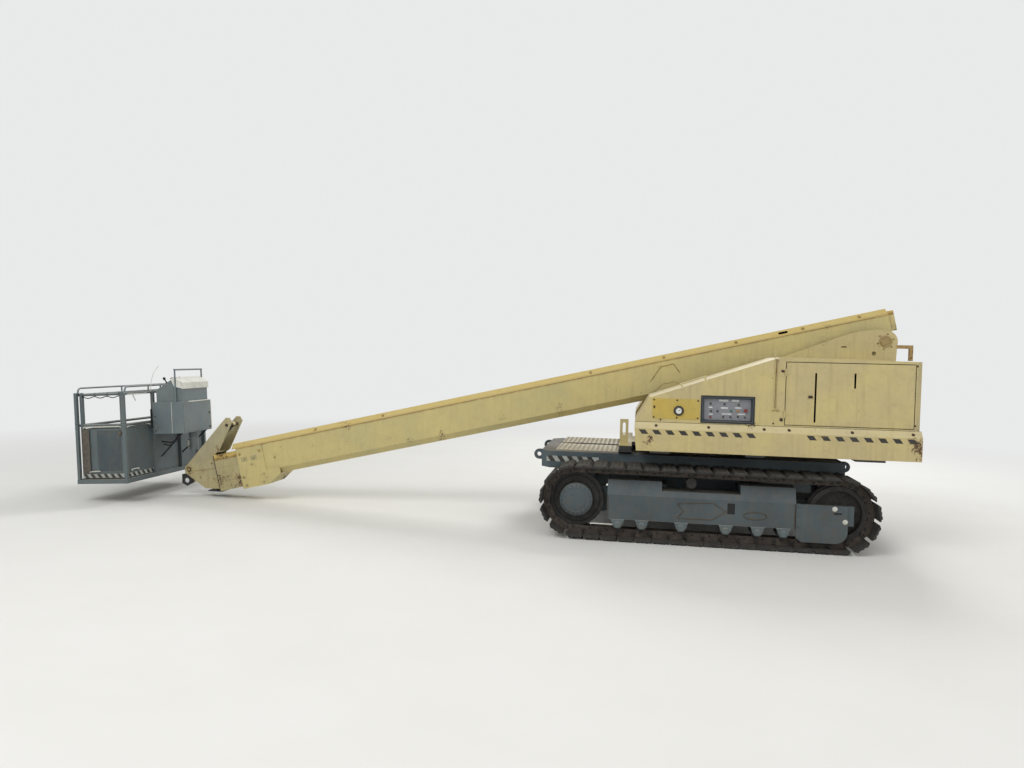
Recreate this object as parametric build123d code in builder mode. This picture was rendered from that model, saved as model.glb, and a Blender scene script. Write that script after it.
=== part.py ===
from build123d import *
import os
from math import acos, atan2, cos, hypot, pi, radians, sin

os.makedirs("parts", exist_ok=True)

# Tracked telescopic boom lift, parked with its boom lowered. Millimetres, +Z up.
# The origin is on the ground under the slewing axis. The boom points to -X, the
# counterweight to +X, and the side with the ground controls is the left, at -Y.
# Left-hand pieces are drawn, and the right-hand ones are their mirror images.
SIDES = ("left", "right")

# Fits
pin_fit = 0.05  # radial clearance of a pin in its bore
seat = 0.3  # gap under a roller, pad or panel that rests on its neighbour
swing_gap = 6.0  # gap round a door or gate

# Tracks
track_gauge = 2100.0  # between the two track centre planes
shoe_width = 500.0
chain_pitch = 190.0
sprocket_teeth = 11
rail_depth = 36.0  # pin line to the running face
rail_rise = 42.0  # pin line to the underside of the shoes
rail_width = 30.0
rail_offset = 60.0  # track centre to a rail's centre
shoe_plate = 12.0
grouser_height = 22.0
grouser_half = 61.0  # shoe centre to the outer side of its last rib
shoe_gap = 9.0  # between neighbouring shoes on a straight run
sprocket_x = -1413.0
idler_x = 1413.0
sprocket_lift = 18.0  # the drive end stands a little higher than the idler end
sprocket_width = 56.0
carrier_x = -140.0
carrier_r = 58.0
carrier_pin_line_z = 766.0
roller_r = 62.0
roller_places = (-942.0, -672.0, -243.0, 237.0, 574.0, 845.0, 1100.0)

# Track frames, heights over the ground and widths about the track centre plane
frame_front = -1060.0
frame_rear = 970.0
frame_bottom = 235.0
frame_shoulder = 512.0
frame_top = 672.0
frame_half = 150.0
frame_top_half = 78.0
frame_plate = 34.0
recess_front = -460.0
recess_rear = 390.0
recess_floor = 575.0
drive_arm_inner = 60.0
drive_arm_plate = 40.0
drive_r = 186.0
drive_bore_r = 150.0
guard_plate = 16.0
guard_rear = 1500.0
guard_bottom = 104.0

# Car body between the tracks
body_front = -1880.0
body_rear = 1570.0
body_gap = 150.0  # from a track frame to the side of the car body
body_top = 920.0
body_bottom = 720.0
body_plate = 16.0
core_half_x = 640.0
core_inset = 150.0  # from the side of the car body to the side of its core
core_bottom = 330.0
beam_x = 560.0
beam_width = 320.0
beam_height = 270.0
deck_plate = 20.0
deck_front = -1700.0
deck_rear = -960.0
deck_channel = 120.0
eye_r = 26.0
eye_plate = 30.0
eye_inset = 520.0
eye_z = 850.0

# Slewing ring and turntable
ring_outer = 590.0
ring_inner = 470.0
ring_height = 55.0
race_width = 80.0
turntable_bottom = 1000.0
turntable_plate = 26.0
turntable_front = -960.0
turntable_rear = 2150.0
turntable_gap = 3.0  # from the base plate to the trays beside it
crossarm_places = ((-500.0, 220.0), (520.0, 200.0), (1700.0, 300.0))
crossarm_inset = 25.0  # from the outer side of a skirt to the end of a crossarm
front_bar_width = 150.0
front_bar_half = 800.0
cheek_gap = 90.0  # from the side of the boom to a cheek
cheek_plate = 20.0

# Boom pivot and boom sections
pivot_x = 2069.0
pivot_z = 2309.0
pivot_pin_r = 50.0
pivot_boss_r = 95.0
boom_droop = 13.25  # degrees below level, to the front
base_width = 420.0
base_top = 375.0  # over the line through the pivot, along the boom
base_depth = 510.0
base_tail = 120.0
base_length = 8333.0
boom_wall = 8.0
edge_chamfer = 72.0
collar_length = 380.0
collar_plate = 12.0
collar_drop = 115.0
lip_length = 66.0
lip_height = 72.0
middle_play = (12.0, 105.0, 9.0)  # to the base section inside its walls: each side, top, bottom
middle_start = 2760.0
middle_reach = 350.0  # from the mouth of the base section to the end of the middle one
block_plate = 14.0
block_rise = 13.0
block_drop = 102.0
tip_play = (14.0, 16.0, 20.0)  # to the middle section inside its walls: each side, top, bottom
tip_start = 2960.0
inner_chamfer = 50.0
wear_pad_length = 110.0
wear_pad_width = 150.0
section_gap = 5.0
head_flange = 20.0

# Boom head
head_plate = 20.0
head_inset = 18.0  # from the side of the tip section to the outer side of a head plate
foot_pin_along = 420.98  # from the end of the tip section to the foot pin, along the boom
foot_pin_over = 154.91
foot_pin_r = 30.0
foot_boss_r = 62.0
arm_pin_back = 551.0  # from the foot pin to the arm pin, along the machine
arm_pin_up = 632.0
arm_pin_r = 20.0

# Lift cylinder
lift_base_x = 1750.0
lift_base_z = 1150.0
lift_rod_x = -400.0
lift_rod_z = 1500.0
lift_pin_r = 40.0
lift_barrel_r = 90.0
lift_wall = 16.0
lift_rod_r = 50.0
lift_barrel_length = 1740.0
lift_eye_r = 72.0
lift_eye_half = 45.0
lift_lug_plate = 25.0
lift_lug_gap = 7.0

# Levelling cylinder
level_arm = 260.0
level_arm_angle = 68.0
level_barrel_r = 42.0
level_wall = 9.0
level_rod_r = 20.0
level_barrel_length = 500.0
level_eye_r = 36.0
level_eye_half = 26.0
level_pin_r = 20.0

# Basket, in its own frame: out from the foot pin, across, and up
basket_tilt = 3.5  # degrees, nose down
post_r = 55.0
post_start = 250.0
post_top = 440.0
spigot_r = 42.0
spigot_top = 876.0
sleeve_wall = 24.0
basket_inner = -380.0
basket_depth = 720.0
basket_half = 930.0
basket_floor_under = -68.0
basket_floor_depth = 58.0
basket_sheet = 4.0
basket_panel_top = 643.0
basket_mid_rail = 690.0
basket_rail = 1090.0
tube_r = 19.0  # half the width of the square posts
rail_r = 17.5
post_inset = 3.0  # from the outer side of a beam to the outer side of a post
cabinet_front = 70.0
cabinet_half = 340.0
cabinet_bottom = 515.0
cabinet_top = 945.0
cabinet_sheet = 4.0

# Housings on each side of the boom
housing_gap = 25.0  # from a cheek to the housing beside it
housing_outer = 1200.0
skirt_ledge = 50.0  # from the side of a housing to the side of its skirt
skirt_front = -782.0
skirt_toe = -759.0
housing_rear = 2200.0
skirt_band = 1275.0
skirt_top = 1345.0
skirt_wall = 6.0
housing_wall = 5.0
nose_x = -622.0
nose_z = 1617.0
roof_x = 750.0
roof_z = 2090.0
roof_rear_z = 2075.0
rear_chamfer = 62.0
panel_seam = 750.0
door_front = 818.0
door_rear = 2122.0
door_bottom = 1365.0
door_top = 2042.0
door_return = 25.0
hinge_r = 8.0
hinge_pin_r = 4.0
knuckle_length = 40.0
knuckle_half = 6.0  # square knuckles, short of the door's swinging edge
hinge_heights = (1480.0, 1930.0)
slot_width = 20.0
vent_slots = ((1124.0, 1400.0, 1934.0), (1522.0, 1776.0, 1939.0))  # X, lowest and highest Z
controls_front = -50.0
controls_rear = 484.0
controls_bottom = 1374.0
controls_top = 1638.0
controls_depth = 45.0
controls_frame = 20.0
gauge_front = -592.0
gauge_rear = -60.0
gauge_bottom = 1386.0
gauge_top = 1610.0
gauge_x = -305.0
gauge_z = 1479.0
gauge_r = 36.0
engine_front = 900.0
engine_rear = 1880.0
engine_height = 660.0
engine_from_cheek = 125.0
engine_from_door = 130.0
weight_front = 1890.0
weight_top = 1880.0

# Worked out from the sizes above
track_y = -track_gauge / 2
body_half = track_gauge / 2 - frame_half - body_gap
core_half_y = body_half - core_inset
base_half = base_width / 2
base_bottom = base_top - base_depth
cheek_inner = base_half + cheek_gap
cheek_outer = cheek_inner + cheek_plate
housing_inner = cheek_outer + housing_gap
skirt_outer = housing_outer + skirt_ledge
turntable_half = housing_inner - turntable_gap
crossarm_half = skirt_outer - crossarm_inset
middle_side, middle_over, middle_under = middle_play
middle_half = base_half - boom_wall - middle_side
middle_top = base_top - boom_wall - middle_over
middle_bottom = base_bottom + boom_wall + middle_under
middle_block_end = base_length + middle_reach
middle_block_half = middle_half + block_plate
middle_block_top = middle_top + block_rise
middle_block_bottom = middle_bottom - block_drop
tip_side, tip_over, tip_under = tip_play
tip_half = middle_half - boom_wall - tip_side
tip_top = middle_top - boom_wall - tip_over
tip_bottom = middle_bottom + boom_wall + tip_under
tip_end = middle_block_end + section_gap
head_half = tip_half - head_inset
pin_line_z = grouser_height + shoe_plate + rail_rise
wheel_r = chain_pitch / (2 * sin(pi / sprocket_teeth))
running_r = wheel_r - rail_depth
sprocket_z = pin_line_z + wheel_r + sprocket_lift
idler_z = pin_line_z + wheel_r
roller_z = pin_line_z + rail_depth + seat + roller_r
carrier_z = carrier_pin_line_z - rail_depth - seat - carrier_r

droop = radians(boom_droop)
along_boom = Vector(-cos(droop), 0, -sin(droop))
over_boom = Vector(-sin(droop), 0, cos(droop))
boom_pivot = Vector(pivot_x, 0, pivot_z)
boom_side = Plane(origin=boom_pivot, x_dir=along_boom, z_dir=(0, 1, 0))
foot_pin_place = boom_pivot + along_boom * (tip_end + foot_pin_along) + over_boom * foot_pin_over
foot_pin_x, foot_pin_z = foot_pin_place.X, foot_pin_place.Z
arm_pin_x = foot_pin_x + arm_pin_back
arm_pin_z = foot_pin_z + arm_pin_up


def boom_section(distance):
    """Plane square to the boom at a distance from its pivot, with Y of the sketch upwards."""
    return Plane(boom_pivot + along_boom * distance, x_dir=(0, -1, 0), z_dir=along_boom)


def along_and_over(x, z):
    """A place in the machine's X and Z as its distance along the boom and over the pivot line."""
    offset = Vector(x, 0, z) - boom_pivot
    return offset.dot(along_boom), offset.dot(over_boom)


def side_plane(y):
    """Plane at a distance across the machine, with X along it and Y of the sketch upwards."""
    return Plane.XZ.offset(-y)


def across(x, z, y=0.0):
    """Plane for what is round about a line across the machine, its own Y up, facing +Y."""
    return Plane(origin=(x, y, z), x_dir=(-1, 0, 0), z_dir=(0, 1, 0))


def touch_point(centre, radius, point, upper):
    """Where a line from a point meets a circle in the X-Z plane, above or below it."""
    away = atan2(point[1] - centre[1], point[0] - centre[0])
    opening = acos(radius / hypot(point[0] - centre[0], point[1] - centre[1]))
    angles = (away + opening, away - opening)
    places = [(centre[0] + radius * cos(a), centre[1] + radius * sin(a)) for a in angles]
    return sorted(places, key=lambda place: place[1])[1 if upper else 0]


# Chain path: the line of the chain's pins round the sprocket, over the carrier roller,
# round the idler and back under the track rollers
sprocket_centre = (sprocket_x, sprocket_z)
idler_centre = (idler_x, idler_z)
carrier_pin = (carrier_x, carrier_pin_line_z)
first_roller_pin = (min(roller_places), pin_line_z)
sprocket_over = touch_point(sprocket_centre, wheel_r, carrier_pin, upper=True)
sprocket_under = touch_point(sprocket_centre, wheel_r, first_roller_pin, upper=False)
idler_over = touch_point(idler_centre, wheel_r, carrier_pin, upper=True)
idler_under = (idler_x, pin_line_z)
with BuildLine() as pin_line:
    Line(first_roller_pin, sprocket_under)
    ThreePointArc(sprocket_under, (sprocket_x - wheel_r, sprocket_z), sprocket_over)
    Line(sprocket_over, carrier_pin)
    Line(carrier_pin, idler_over)
    ThreePointArc(idler_over, (idler_x + wheel_r, idler_z), idler_under)
    Line(idler_under, first_roller_pin)
chain = pin_line.wire()
shoe_count = round(chain.length / chain_pitch)
shoe_half = chain.length / shoe_count / 2 - shoe_gap / 2
outward = 1 if (chain % 0.98).X < 0 else -1

# One shoe seen from its end: a plate with a raised middle, along the chain and out from it
shoe_over = rail_rise + shoe_plate
shoe_outline = (
    (-shoe_half, rail_rise),
    (-shoe_half, shoe_over),
    (-grouser_half, shoe_over + grouser_height),
    (grouser_half, shoe_over + grouser_height),
    (shoe_half, shoe_over),
    (shoe_half, rail_rise),
)


def shoe_on_chain(index):
    """The corners of one shoe in X and Z, turned and placed where it rides on the chain."""
    share = (index + 0.5) / shoe_count
    middle, heading = chain @ share, chain % share
    return [
        (
            middle.X + heading.X * forward - heading.Y * out * outward,
            middle.Y + heading.Y * forward + heading.X * out * outward,
        )
        for forward, out in shoe_outline
    ]


# Tracks: two link rails carry a loop of triple-grouser shoes
with BuildPart() as track:
    for rail_y in (-rail_offset, rail_offset):
        with BuildSketch(side_plane(track_y + rail_y)):
            pins = make_face(pin_line.edges())
            offset(pins, amount=rail_rise + shoe_plate / 3, kind=Kind.ARC, mode=Mode.REPLACE)
            offset(pins, amount=-rail_depth, kind=Kind.ARC, mode=Mode.SUBTRACT)
        extrude(amount=rail_width / 2, both=True)
    with BuildSketch(side_plane(track_y)):
        for index in range(shoe_count):
            with BuildLine():
                Polyline(*shoe_on_chain(index), close=True)
            make_face()
    extrude(amount=shoe_width / 2, both=True)
    with BuildSketch(Plane.XY):
        with Locations(((sprocket_x + idler_x) / 2, track_y)):
            Rectangle(idler_x - sprocket_x + 4 * wheel_r, 2 * shoe_width)
    extrude(amount=-grouser_height, mode=Mode.SUBTRACT)

# Sprockets: a toothed disc between the rails, bored for its drive
tooth_root_r = wheel_r - 27
tooth_tip_r = wheel_r + 16
tooth_foot = 0.30 * chain_pitch
tooth_crest = 0.10 * chain_pitch
with BuildPart() as sprocket:
    with BuildSketch(across(sprocket_x, sprocket_z, track_y)):
        Circle(tooth_root_r)
        with PolarLocations(0, sprocket_teeth):
            with BuildLine():
                Polyline(
                    (tooth_root_r - 20, -tooth_foot),
                    (tooth_tip_r, -tooth_crest),
                    (tooth_tip_r, tooth_crest),
                    (tooth_root_r - 20, tooth_foot),
                    close=True,
                )
            make_face()
        Circle(drive_bore_r + pin_fit, mode=Mode.SUBTRACT)
    extrude(amount=sprocket_width / 2, both=True)

# Final drives: domed cover outside the sprocket, gear housing through it, motor inboard
drive_arm_outer = drive_arm_inner + drive_arm_plate
drive_cover = frame_half
drive_motor_r = 108.0
drive_motor_end = 212.0
with BuildPart() as final_drive:
    with BuildSketch(Plane((sprocket_x, track_y, sprocket_z))):
        with BuildLine():
            Polyline(
                (0, -drive_cover),
                (drive_r - 40, -drive_cover),
                (drive_r, -drive_cover + 22),
                (drive_r, -sprocket_width / 2),
                (drive_bore_r, -sprocket_width / 2),
                (drive_bore_r, drive_arm_outer),
                (drive_motor_r, drive_arm_outer),
                (drive_motor_r, drive_motor_end),
                (0, drive_motor_end),
                close=True,
            )
        make_face()
    revolve(axis=Axis((sprocket_x, track_y, sprocket_z), (0, 1, 0)))

# Idlers: a rim for the rails with a guide flange between them, a web with six holes, an axle
idler_rim = rail_offset + rail_width / 2 + 7
idler_flange = rail_offset - rail_width / 2 - 7
idler_tread_r = running_r - seat
idler_rim_depth = 48.0
idler_web = 14.0
idler_hub_r = 88.0
idler_holes = 6
idler_hole_r = 40.0
arm_plate = 30.0
arm_inner = frame_half - arm_plate
with BuildPart() as idler:
    with BuildSketch(Plane((idler_x, track_y, idler_z))):
        with BuildLine():
            Polyline(
                (0, -arm_inner),
                (idler_hub_r, -arm_inner),
                (idler_hub_r, -idler_web),
                (idler_tread_r - idler_rim_depth, -idler_web),
                (idler_tread_r - idler_rim_depth, -idler_rim),
                (idler_tread_r, -idler_rim),
                (idler_tread_r, -idler_flange),
                (idler_tread_r + 18, -idler_flange),
                (idler_tread_r + 18, 0),
                (0, 0),
                close=True,
            )
        make_face()
    revolve(axis=Axis((idler_x, track_y, idler_z), (0, 1, 0)))
    mirror(about=Plane.XZ.offset(-track_y))
    with BuildSketch(across(idler_x, idler_z, track_y)):
        with PolarLocations((idler_hub_r + idler_tread_r - idler_rim_depth) / 2, idler_holes):
            Circle(idler_hole_r)
    extrude(amount=idler_web, both=True, mode=Mode.SUBTRACT)

# Track rollers: each is held between two collars that bolt up under the frame
journal_r = 38.0
channel_half = frame_half - frame_plate
with BuildPart() as track_rollers:
    with BuildSketch(across(0, roller_z, track_y)):
        with Locations(*[(-x, 0) for x in roller_places]):
            Circle(roller_r)
    extrude(amount=channel_half, both=True)
    for end in (-1, 1):
        with BuildSketch(side_plane(track_y + end * (frame_half - frame_plate / 2))):
            for x in roller_places:
                with BuildLine():
                    Polyline(
                        (x - journal_r - 8, frame_bottom),
                        (x - journal_r - 8, roller_z - 10),
                        (x - 20, roller_z - journal_r - 8),
                        (x + 20, roller_z - journal_r - 8),
                        (x + journal_r + 8, roller_z - 10),
                        (x + journal_r + 8, frame_bottom),
                        close=True,
                    )
                make_face()
        extrude(amount=frame_plate / 2, both=True)

# Carrier rollers: one under the top run of each chain, on a bracket from the frame
bracket_from = 98.0
bracket_half = 62.0
with BuildPart() as carrier_roller:
    with BuildSketch(across(carrier_x, carrier_z, track_y)):
        Circle(carrier_r)
    extrude(amount=bracket_from - seat - 4, both=True)
    with BuildSketch(across(carrier_x, carrier_z, track_y)):
        Circle(carrier_r / 2)
    extrude(amount=bracket_from + 10)
    with BuildSketch(side_plane(track_y + bracket_from)):
        with Locations((carrier_x, carrier_z)):
            Circle(bracket_half - 18)
        with BuildLine():
            Polyline(
                (carrier_x - bracket_half, recess_floor),
                (carrier_x + bracket_half, recess_floor),
                (carrier_x + bracket_half - 18, carrier_z),
                (carrier_x - bracket_half + 18, carrier_z),
                close=True,
            )
        make_face()
    extrude(amount=-(frame_half - bracket_from))

# Track frames: a box beam with a channel for the rollers, a recess for the carrier roller,
# an arm round the final drive and two arms for the idler's axle
inspection_hole = (290.0, 420.0, 80.0, 120.0)  # X, Z, length, height
idler_arm_end = idler_x + 150
idler_arm_top = frame_shoulder
idler_arm_bottom = 300.0
with BuildPart() as track_frame:
    with BuildSketch(Plane.YZ.offset(frame_front)):
        with BuildLine():
            Polyline(
                (track_y - frame_half, frame_bottom),
                (track_y - frame_half, frame_shoulder),
                (track_y - frame_top_half, frame_top),
                (track_y + frame_half, frame_top),
                (track_y + frame_half, frame_bottom),
                (track_y + channel_half, frame_bottom),
                (track_y + channel_half, frame_bottom + 27),
                (track_y - channel_half, frame_bottom + 27),
                (track_y - channel_half, frame_bottom),
                close=True,
            )
        make_face()
    extrude(amount=frame_rear - frame_front)
    with BuildSketch(side_plane(track_y)):
        with Locations(((recess_front + recess_rear) / 2, recess_floor + 100)):
            Rectangle(recess_rear - recess_front, 200)
    extrude(amount=frame_half, both=True, mode=Mode.SUBTRACT)
    hole_x, hole_z, hole_length, hole_height = inspection_hole
    with BuildSketch(side_plane(track_y - frame_half)):
        with Locations((hole_x, hole_z)):
            Rectangle(hole_length, hole_height)
    extrude(amount=-frame_plate, mode=Mode.SUBTRACT)
    with BuildSketch(side_plane(track_y + drive_arm_inner)):
        with BuildLine():
            Polyline(
                (sprocket_x, sprocket_z + drive_r),
                (frame_front + 60, frame_shoulder + 48),
                (frame_front + 60, frame_bottom + 65),
                (sprocket_x, sprocket_z - drive_r),
                close=True,
            )
        make_face()
        with Locations((sprocket_x, sprocket_z)):
            Circle(drive_r)
            Circle(drive_bore_r + pin_fit, mode=Mode.SUBTRACT)
    extrude(amount=-drive_arm_plate)
    for end in (-1, 1):
        with BuildSketch(side_plane(track_y + end * (frame_half - arm_plate / 2))):
            with Locations(((frame_rear - 30 + idler_arm_end) / 2, (idler_arm_top + idler_arm_bottom) / 2)):
                Rectangle(idler_arm_end - frame_rear + 30, idler_arm_top - idler_arm_bottom)
        extrude(amount=arm_plate / 2, both=True)

# Idler guards: a plate over the lower half of each idler, its lower rear corner round
guard_corner = 130.0
guard_slot = (1395.0, 430.0, 90.0, 26.0)  # X, Z, length, height
with BuildPart() as idler_guard:
    with BuildSketch(side_plane(track_y - frame_half)):
        with BuildLine():
            Line((frame_rear, frame_shoulder), (frame_rear, guard_bottom + 40))
            Line((frame_rear, guard_bottom + 40), (frame_rear + 60, guard_bottom))
            Line((frame_rear + 60, guard_bottom), (guard_rear - guard_corner, guard_bottom))
            RadiusArc(
                (guard_rear - guard_corner, guard_bottom),
                (guard_rear, guard_bottom + guard_corner),
                -guard_corner,
            )
            Line((guard_rear, guard_bottom + guard_corner), (guard_rear, frame_shoulder))
            Line((guard_rear, frame_shoulder), (frame_rear, frame_shoulder))
        make_face()
        with Locations(guard_slot[:2]):
            SlotOverall(guard_slot[2], guard_slot[3], mode=Mode.SUBTRACT)
    extrude(amount=guard_plate)



def both_sides(piece):
    """A left-hand piece together with its mirror image on the right."""
    with BuildPart() as pair:
        add(piece)
        mirror(about=Plane.XZ)
    return pair.part


for side in SIDES:
    loop = mirror(track.part, about=Plane.XZ) if side == "right" else track.part
    loop.label = f"{side}_track"
    export_step(loop, f"parts/{loop.label}.step")

for name, piece in (
    ("sprockets", sprocket.part),
    ("final_drives", final_drive.part),
    ("idlers", idler.part),
    ("track_rollers", track_rollers.part),
    ("carrier_rollers", carrier_roller.part),
    ("track_frames", track_frame.part),
    ("idler_guards", idler_guard.part),
):
    pair = both_sides(piece)
    pair.label = name
    export_step(pair, f"parts/{name}.step")

# Car body: a deck box over a deep core, with two cross beams out to the track frames
core_wall = 25.0
core_roof = 40.0
body_pockets = (  # front and rear end of each open pocket under the deck
    (body_front + body_plate, -1260.0),
    (-1260.0 + body_plate, -core_half_x - body_plate),
    (core_half_x + body_plate, body_rear - body_plate),
)
eye_boss = 62.0
eye_reach = 46.0
with BuildPart() as car_body:
    with BuildSketch(Plane.XY.offset(body_bottom)):
        with Locations(((body_front + body_rear) / 2, 0)):
            Rectangle(body_rear - body_front, 2 * body_half)
    extrude(amount=body_top - body_bottom)
    chamfer(car_body.edges().filter_by(Axis.Z).group_by(Axis.X)[0], length=110)
    with BuildSketch(Plane.XY.offset(body_bottom)):
        for front, rear in body_pockets:
            with Locations(((front + rear) / 2, 0)):
                Rectangle(rear - front, 2 * (body_half - 110 - body_plate))
    extrude(amount=body_top - body_plate - body_bottom, mode=Mode.SUBTRACT)
    with BuildSketch(Plane.XY.offset(core_bottom)):
        Rectangle(2 * core_half_x, 2 * core_half_y)
    extrude(amount=body_bottom - core_bottom)
    with BuildSketch(Plane.XY.offset(core_bottom + 10)):
        for x in (-beam_x, beam_x):
            with Locations((x, 0)):
                Rectangle(beam_width, -2 * (track_y + frame_half))
    extrude(amount=beam_height)
    with BuildSketch(Plane.XY.offset(core_bottom)):
        Rectangle(2 * (core_half_x - core_wall), 2 * (core_half_y - core_wall))
    extrude(amount=body_top - core_roof - core_bottom, mode=Mode.SUBTRACT)
    for eye_y in (-eye_inset, eye_inset):
        with BuildSketch(side_plane(eye_y)):
            for end, way in ((body_front, -1), (body_rear, 1)):
                with Locations((end + way * eye_reach, eye_z)):
                    Circle(eye_boss)
                with Locations((end + way * eye_reach / 2, eye_z)):
                    Rectangle(eye_reach, 2 * eye_boss)
                with Locations((end + way * eye_reach, eye_z)):
                    Circle(eye_r, mode=Mode.SUBTRACT)
        extrude(amount=eye_plate / 2, both=True)
car_body.part.label = "car_body"
export_step(car_body.part, "parts/car_body.step")

# Deck plates: two covers on the front of the deck, a channel for hoses between them
with BuildPart() as deck_plates:
    with BuildSketch(Plane.XY.offset(body_top)):
        for way in (-1, 1):
            width = body_half - 10 - deck_channel / 2
            with Locations(((deck_front + deck_rear) / 2, way * (deck_channel / 2 + width / 2))):
                Rectangle(deck_rear - deck_front, width)
    extrude(amount=deck_plate)
deck_plates.part.label = "deck_plates"
export_step(deck_plates.part, "parts/deck_plates.step")

# Slewing ring: the fixed race on the deck
with BuildPart() as slew_ring:
    with BuildSketch(Plane.XY.offset(body_top)):
        Circle(ring_outer)
        Circle(ring_inner, mode=Mode.SUBTRACT)
    extrude(amount=ring_height)
slew_ring.part.label = "slew_ring"
export_step(slew_ring.part, "parts/slew_ring.step")

# Turntable: base plate and crossarms on the turning race, two cheeks up to the boom pivot,
# two lugs for the foot of the lift cylinder
lift_lug_from = lift_eye_half + lift_lug_gap
lift_lug_to = lift_lug_from + lift_lug_plate
race_bottom = body_top + ring_height + seat
turntable_top = turntable_bottom + turntable_plate
bar_bottom = body_top + deck_plate + swing_gap
with BuildPart() as turntable:
    with BuildSketch(Plane.XY.offset(race_bottom)):
        Circle(ring_outer - 20)
        Circle(ring_outer - 20 - race_width, mode=Mode.SUBTRACT)
    extrude(amount=turntable_bottom - race_bottom)
    with BuildSketch(Plane.XY.offset(turntable_bottom)):
        Circle(ring_outer + 30)
        with Locations(((turntable_front + turntable_rear) / 2, 0)):
            Rectangle(turntable_rear - turntable_front, 2 * turntable_half)
        with Locations((turntable_front + front_bar_width / 2, 0)):
            Rectangle(front_bar_width, 2 * front_bar_half)
        for x, width in crossarm_places:
            with Locations((x, 0)):
                Rectangle(width, 2 * crossarm_half)
    extrude(amount=turntable_plate)
    for way in (-1, 1):
        with BuildSketch(side_plane(way * (cheek_inner + cheek_plate / 2))):
            with BuildLine():
                Polyline(
                    (pivot_x + 128, pivot_z - 40),
                    (pivot_x + 80, turntable_top),
                    (-460, turntable_top),
                    (-460, 1290),
                    (600, 1975),
                    (1044, 2147),
                    (1553, 2348),
                    (1741, 2412),
                )
                ThreePointArc((1741, 2412), (1900, 2438), (pivot_x, pivot_z + 131))
                ThreePointArc(
                    (pivot_x, pivot_z + 131), (pivot_x + 98, pivot_z + 87), (pivot_x + 128, pivot_z - 40)
                )
            make_face()
            with Locations((pivot_x, pivot_z)):
                Circle(pivot_pin_r, mode=Mode.SUBTRACT)
            with Locations((1947, 2166)):
                Circle(25, mode=Mode.SUBTRACT)
            with Locations((1613, 2236)):
                SlotOverall(62, 16, mode=Mode.SUBTRACT)
        extrude(amount=cheek_plate / 2, both=True)
        with BuildSketch(side_plane(way * (lift_lug_from + lift_lug_plate / 2))):
            with Locations((lift_base_x, lift_base_z)):
                Circle(lift_eye_r + 4)
            with BuildLine():
                Polyline(
                    (lift_base_x - 90, turntable_top),
                    (lift_base_x + 90, turntable_top),
                    (lift_base_x + lift_eye_r, lift_base_z),
                    (lift_base_x - lift_eye_r, lift_base_z),
                    close=True,
                )
            make_face()
            with Locations((lift_base_x, lift_base_z)):
                Circle(lift_pin_r, mode=Mode.SUBTRACT)
        extrude(amount=lift_lug_plate / 2, both=True)
    with BuildSketch(side_plane(0)):
        with Locations((turntable_front + front_bar_width / 2, bar_bottom)):
            Circle(turntable_top - bar_bottom)
        with Locations((turntable_front + front_bar_width / 2, bar_bottom - front_bar_width)):
            Rectangle(2 * front_bar_width, 2 * front_bar_width, mode=Mode.SUBTRACT)
    extrude(amount=front_bar_half, both=True)
turntable.part.label = "turntable"
export_step(turntable.part, "parts/turntable.step")

# Pins of the turntable: the boom's pivot with a head on both ends, and the cylinder's foot
keeper = 10.0
with BuildPart() as turntable_pins:
    with BuildSketch(across(pivot_x, pivot_z)):
        Circle(pivot_pin_r)
    extrude(amount=cheek_outer + keeper, both=True)
    for way in (-1, 1):
        with BuildSketch(across(pivot_x, pivot_z, way * (cheek_outer + keeper / 2))):
            Circle(pivot_pin_r + 16)
        extrude(amount=keeper / 2, both=True)
    with BuildSketch(across(lift_base_x, lift_base_z)):
        Circle(lift_pin_r)
    extrude(amount=lift_lug_to + keeper, both=True)
turntable_pins.part.label = "turntable_pins"
export_step(turntable_pins.part, "parts/turntable_pins.step")

# Counterweight: a casting between the cheeks at the tail
with BuildPart() as counterweight:
    with BuildSketch(side_plane(0)):
        with BuildLine():
            Polyline(
                (weight_front, turntable_top),
                (pivot_x + 70, turntable_top),
                (pivot_x + 90, weight_top - 120),
                (pivot_x - 20, weight_top),
                (weight_front, weight_top),
                close=True,
            )
        make_face()
    extrude(amount=cheek_inner, both=True)
    chamfer(counterweight.edges().filter_by(Axis.Y).group_by(Axis.Z)[-1], length=20)
counterweight.part.label = "counterweight"
export_step(counterweight.part, "parts/counterweight.step")

# Front bracket: an upright plate with a slot, on the front bar
loop_x = -902.0
loop_y = -740.0
loop_width = 98.0
loop_height = 304.0
with BuildPart() as front_bracket:
    with BuildSketch(side_plane(loop_y)):
        with Locations((loop_x, turntable_top + loop_height / 2)):
            Rectangle(loop_width, loop_height)
        with Locations((loop_x, turntable_top + loop_height * 0.62)):
            SlotOverall(loop_height * 0.5, loop_width * 0.36, rotation=90, mode=Mode.SUBTRACT)
    extrude(amount=11, both=True)
    with BuildSketch(Plane.XY.offset(turntable_top)):
        with Locations((loop_x, loop_y)):
            Rectangle(loop_width, 90)
    extrude(amount=12)
front_bracket.part.label = "front_bracket"
export_step(front_bracket.part, "parts/front_bracket.step")

# Rear brackets: a bent square tube behind each cheek
tail_tube = 40.0
with BuildPart() as rear_brackets:
    for way in (-1, 1):
        with BuildSketch(side_plane(way * (cheek_inner + cheek_plate / 2))):
            with BuildLine():
                Polyline(
                    (pivot_x + 128, pivot_z - 40),
                    (pivot_x + 300, pivot_z - 40),
                    (pivot_x + 300, pivot_z - 220),
                    (pivot_x + 300 - tail_tube, pivot_z - 220),
                    (pivot_x + 300 - tail_tube, pivot_z - 40 - tail_tube),
                    (pivot_x + 128 - tail_tube * 48 / 1243, pivot_z - 40 - tail_tube),
                    close=True,
                )
            make_face()
        extrude(amount=tail_tube / 2, both=True)
rear_brackets.part.label = "rear_brackets"
export_step(rear_brackets.part, "parts/rear_brackets.step")

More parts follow.
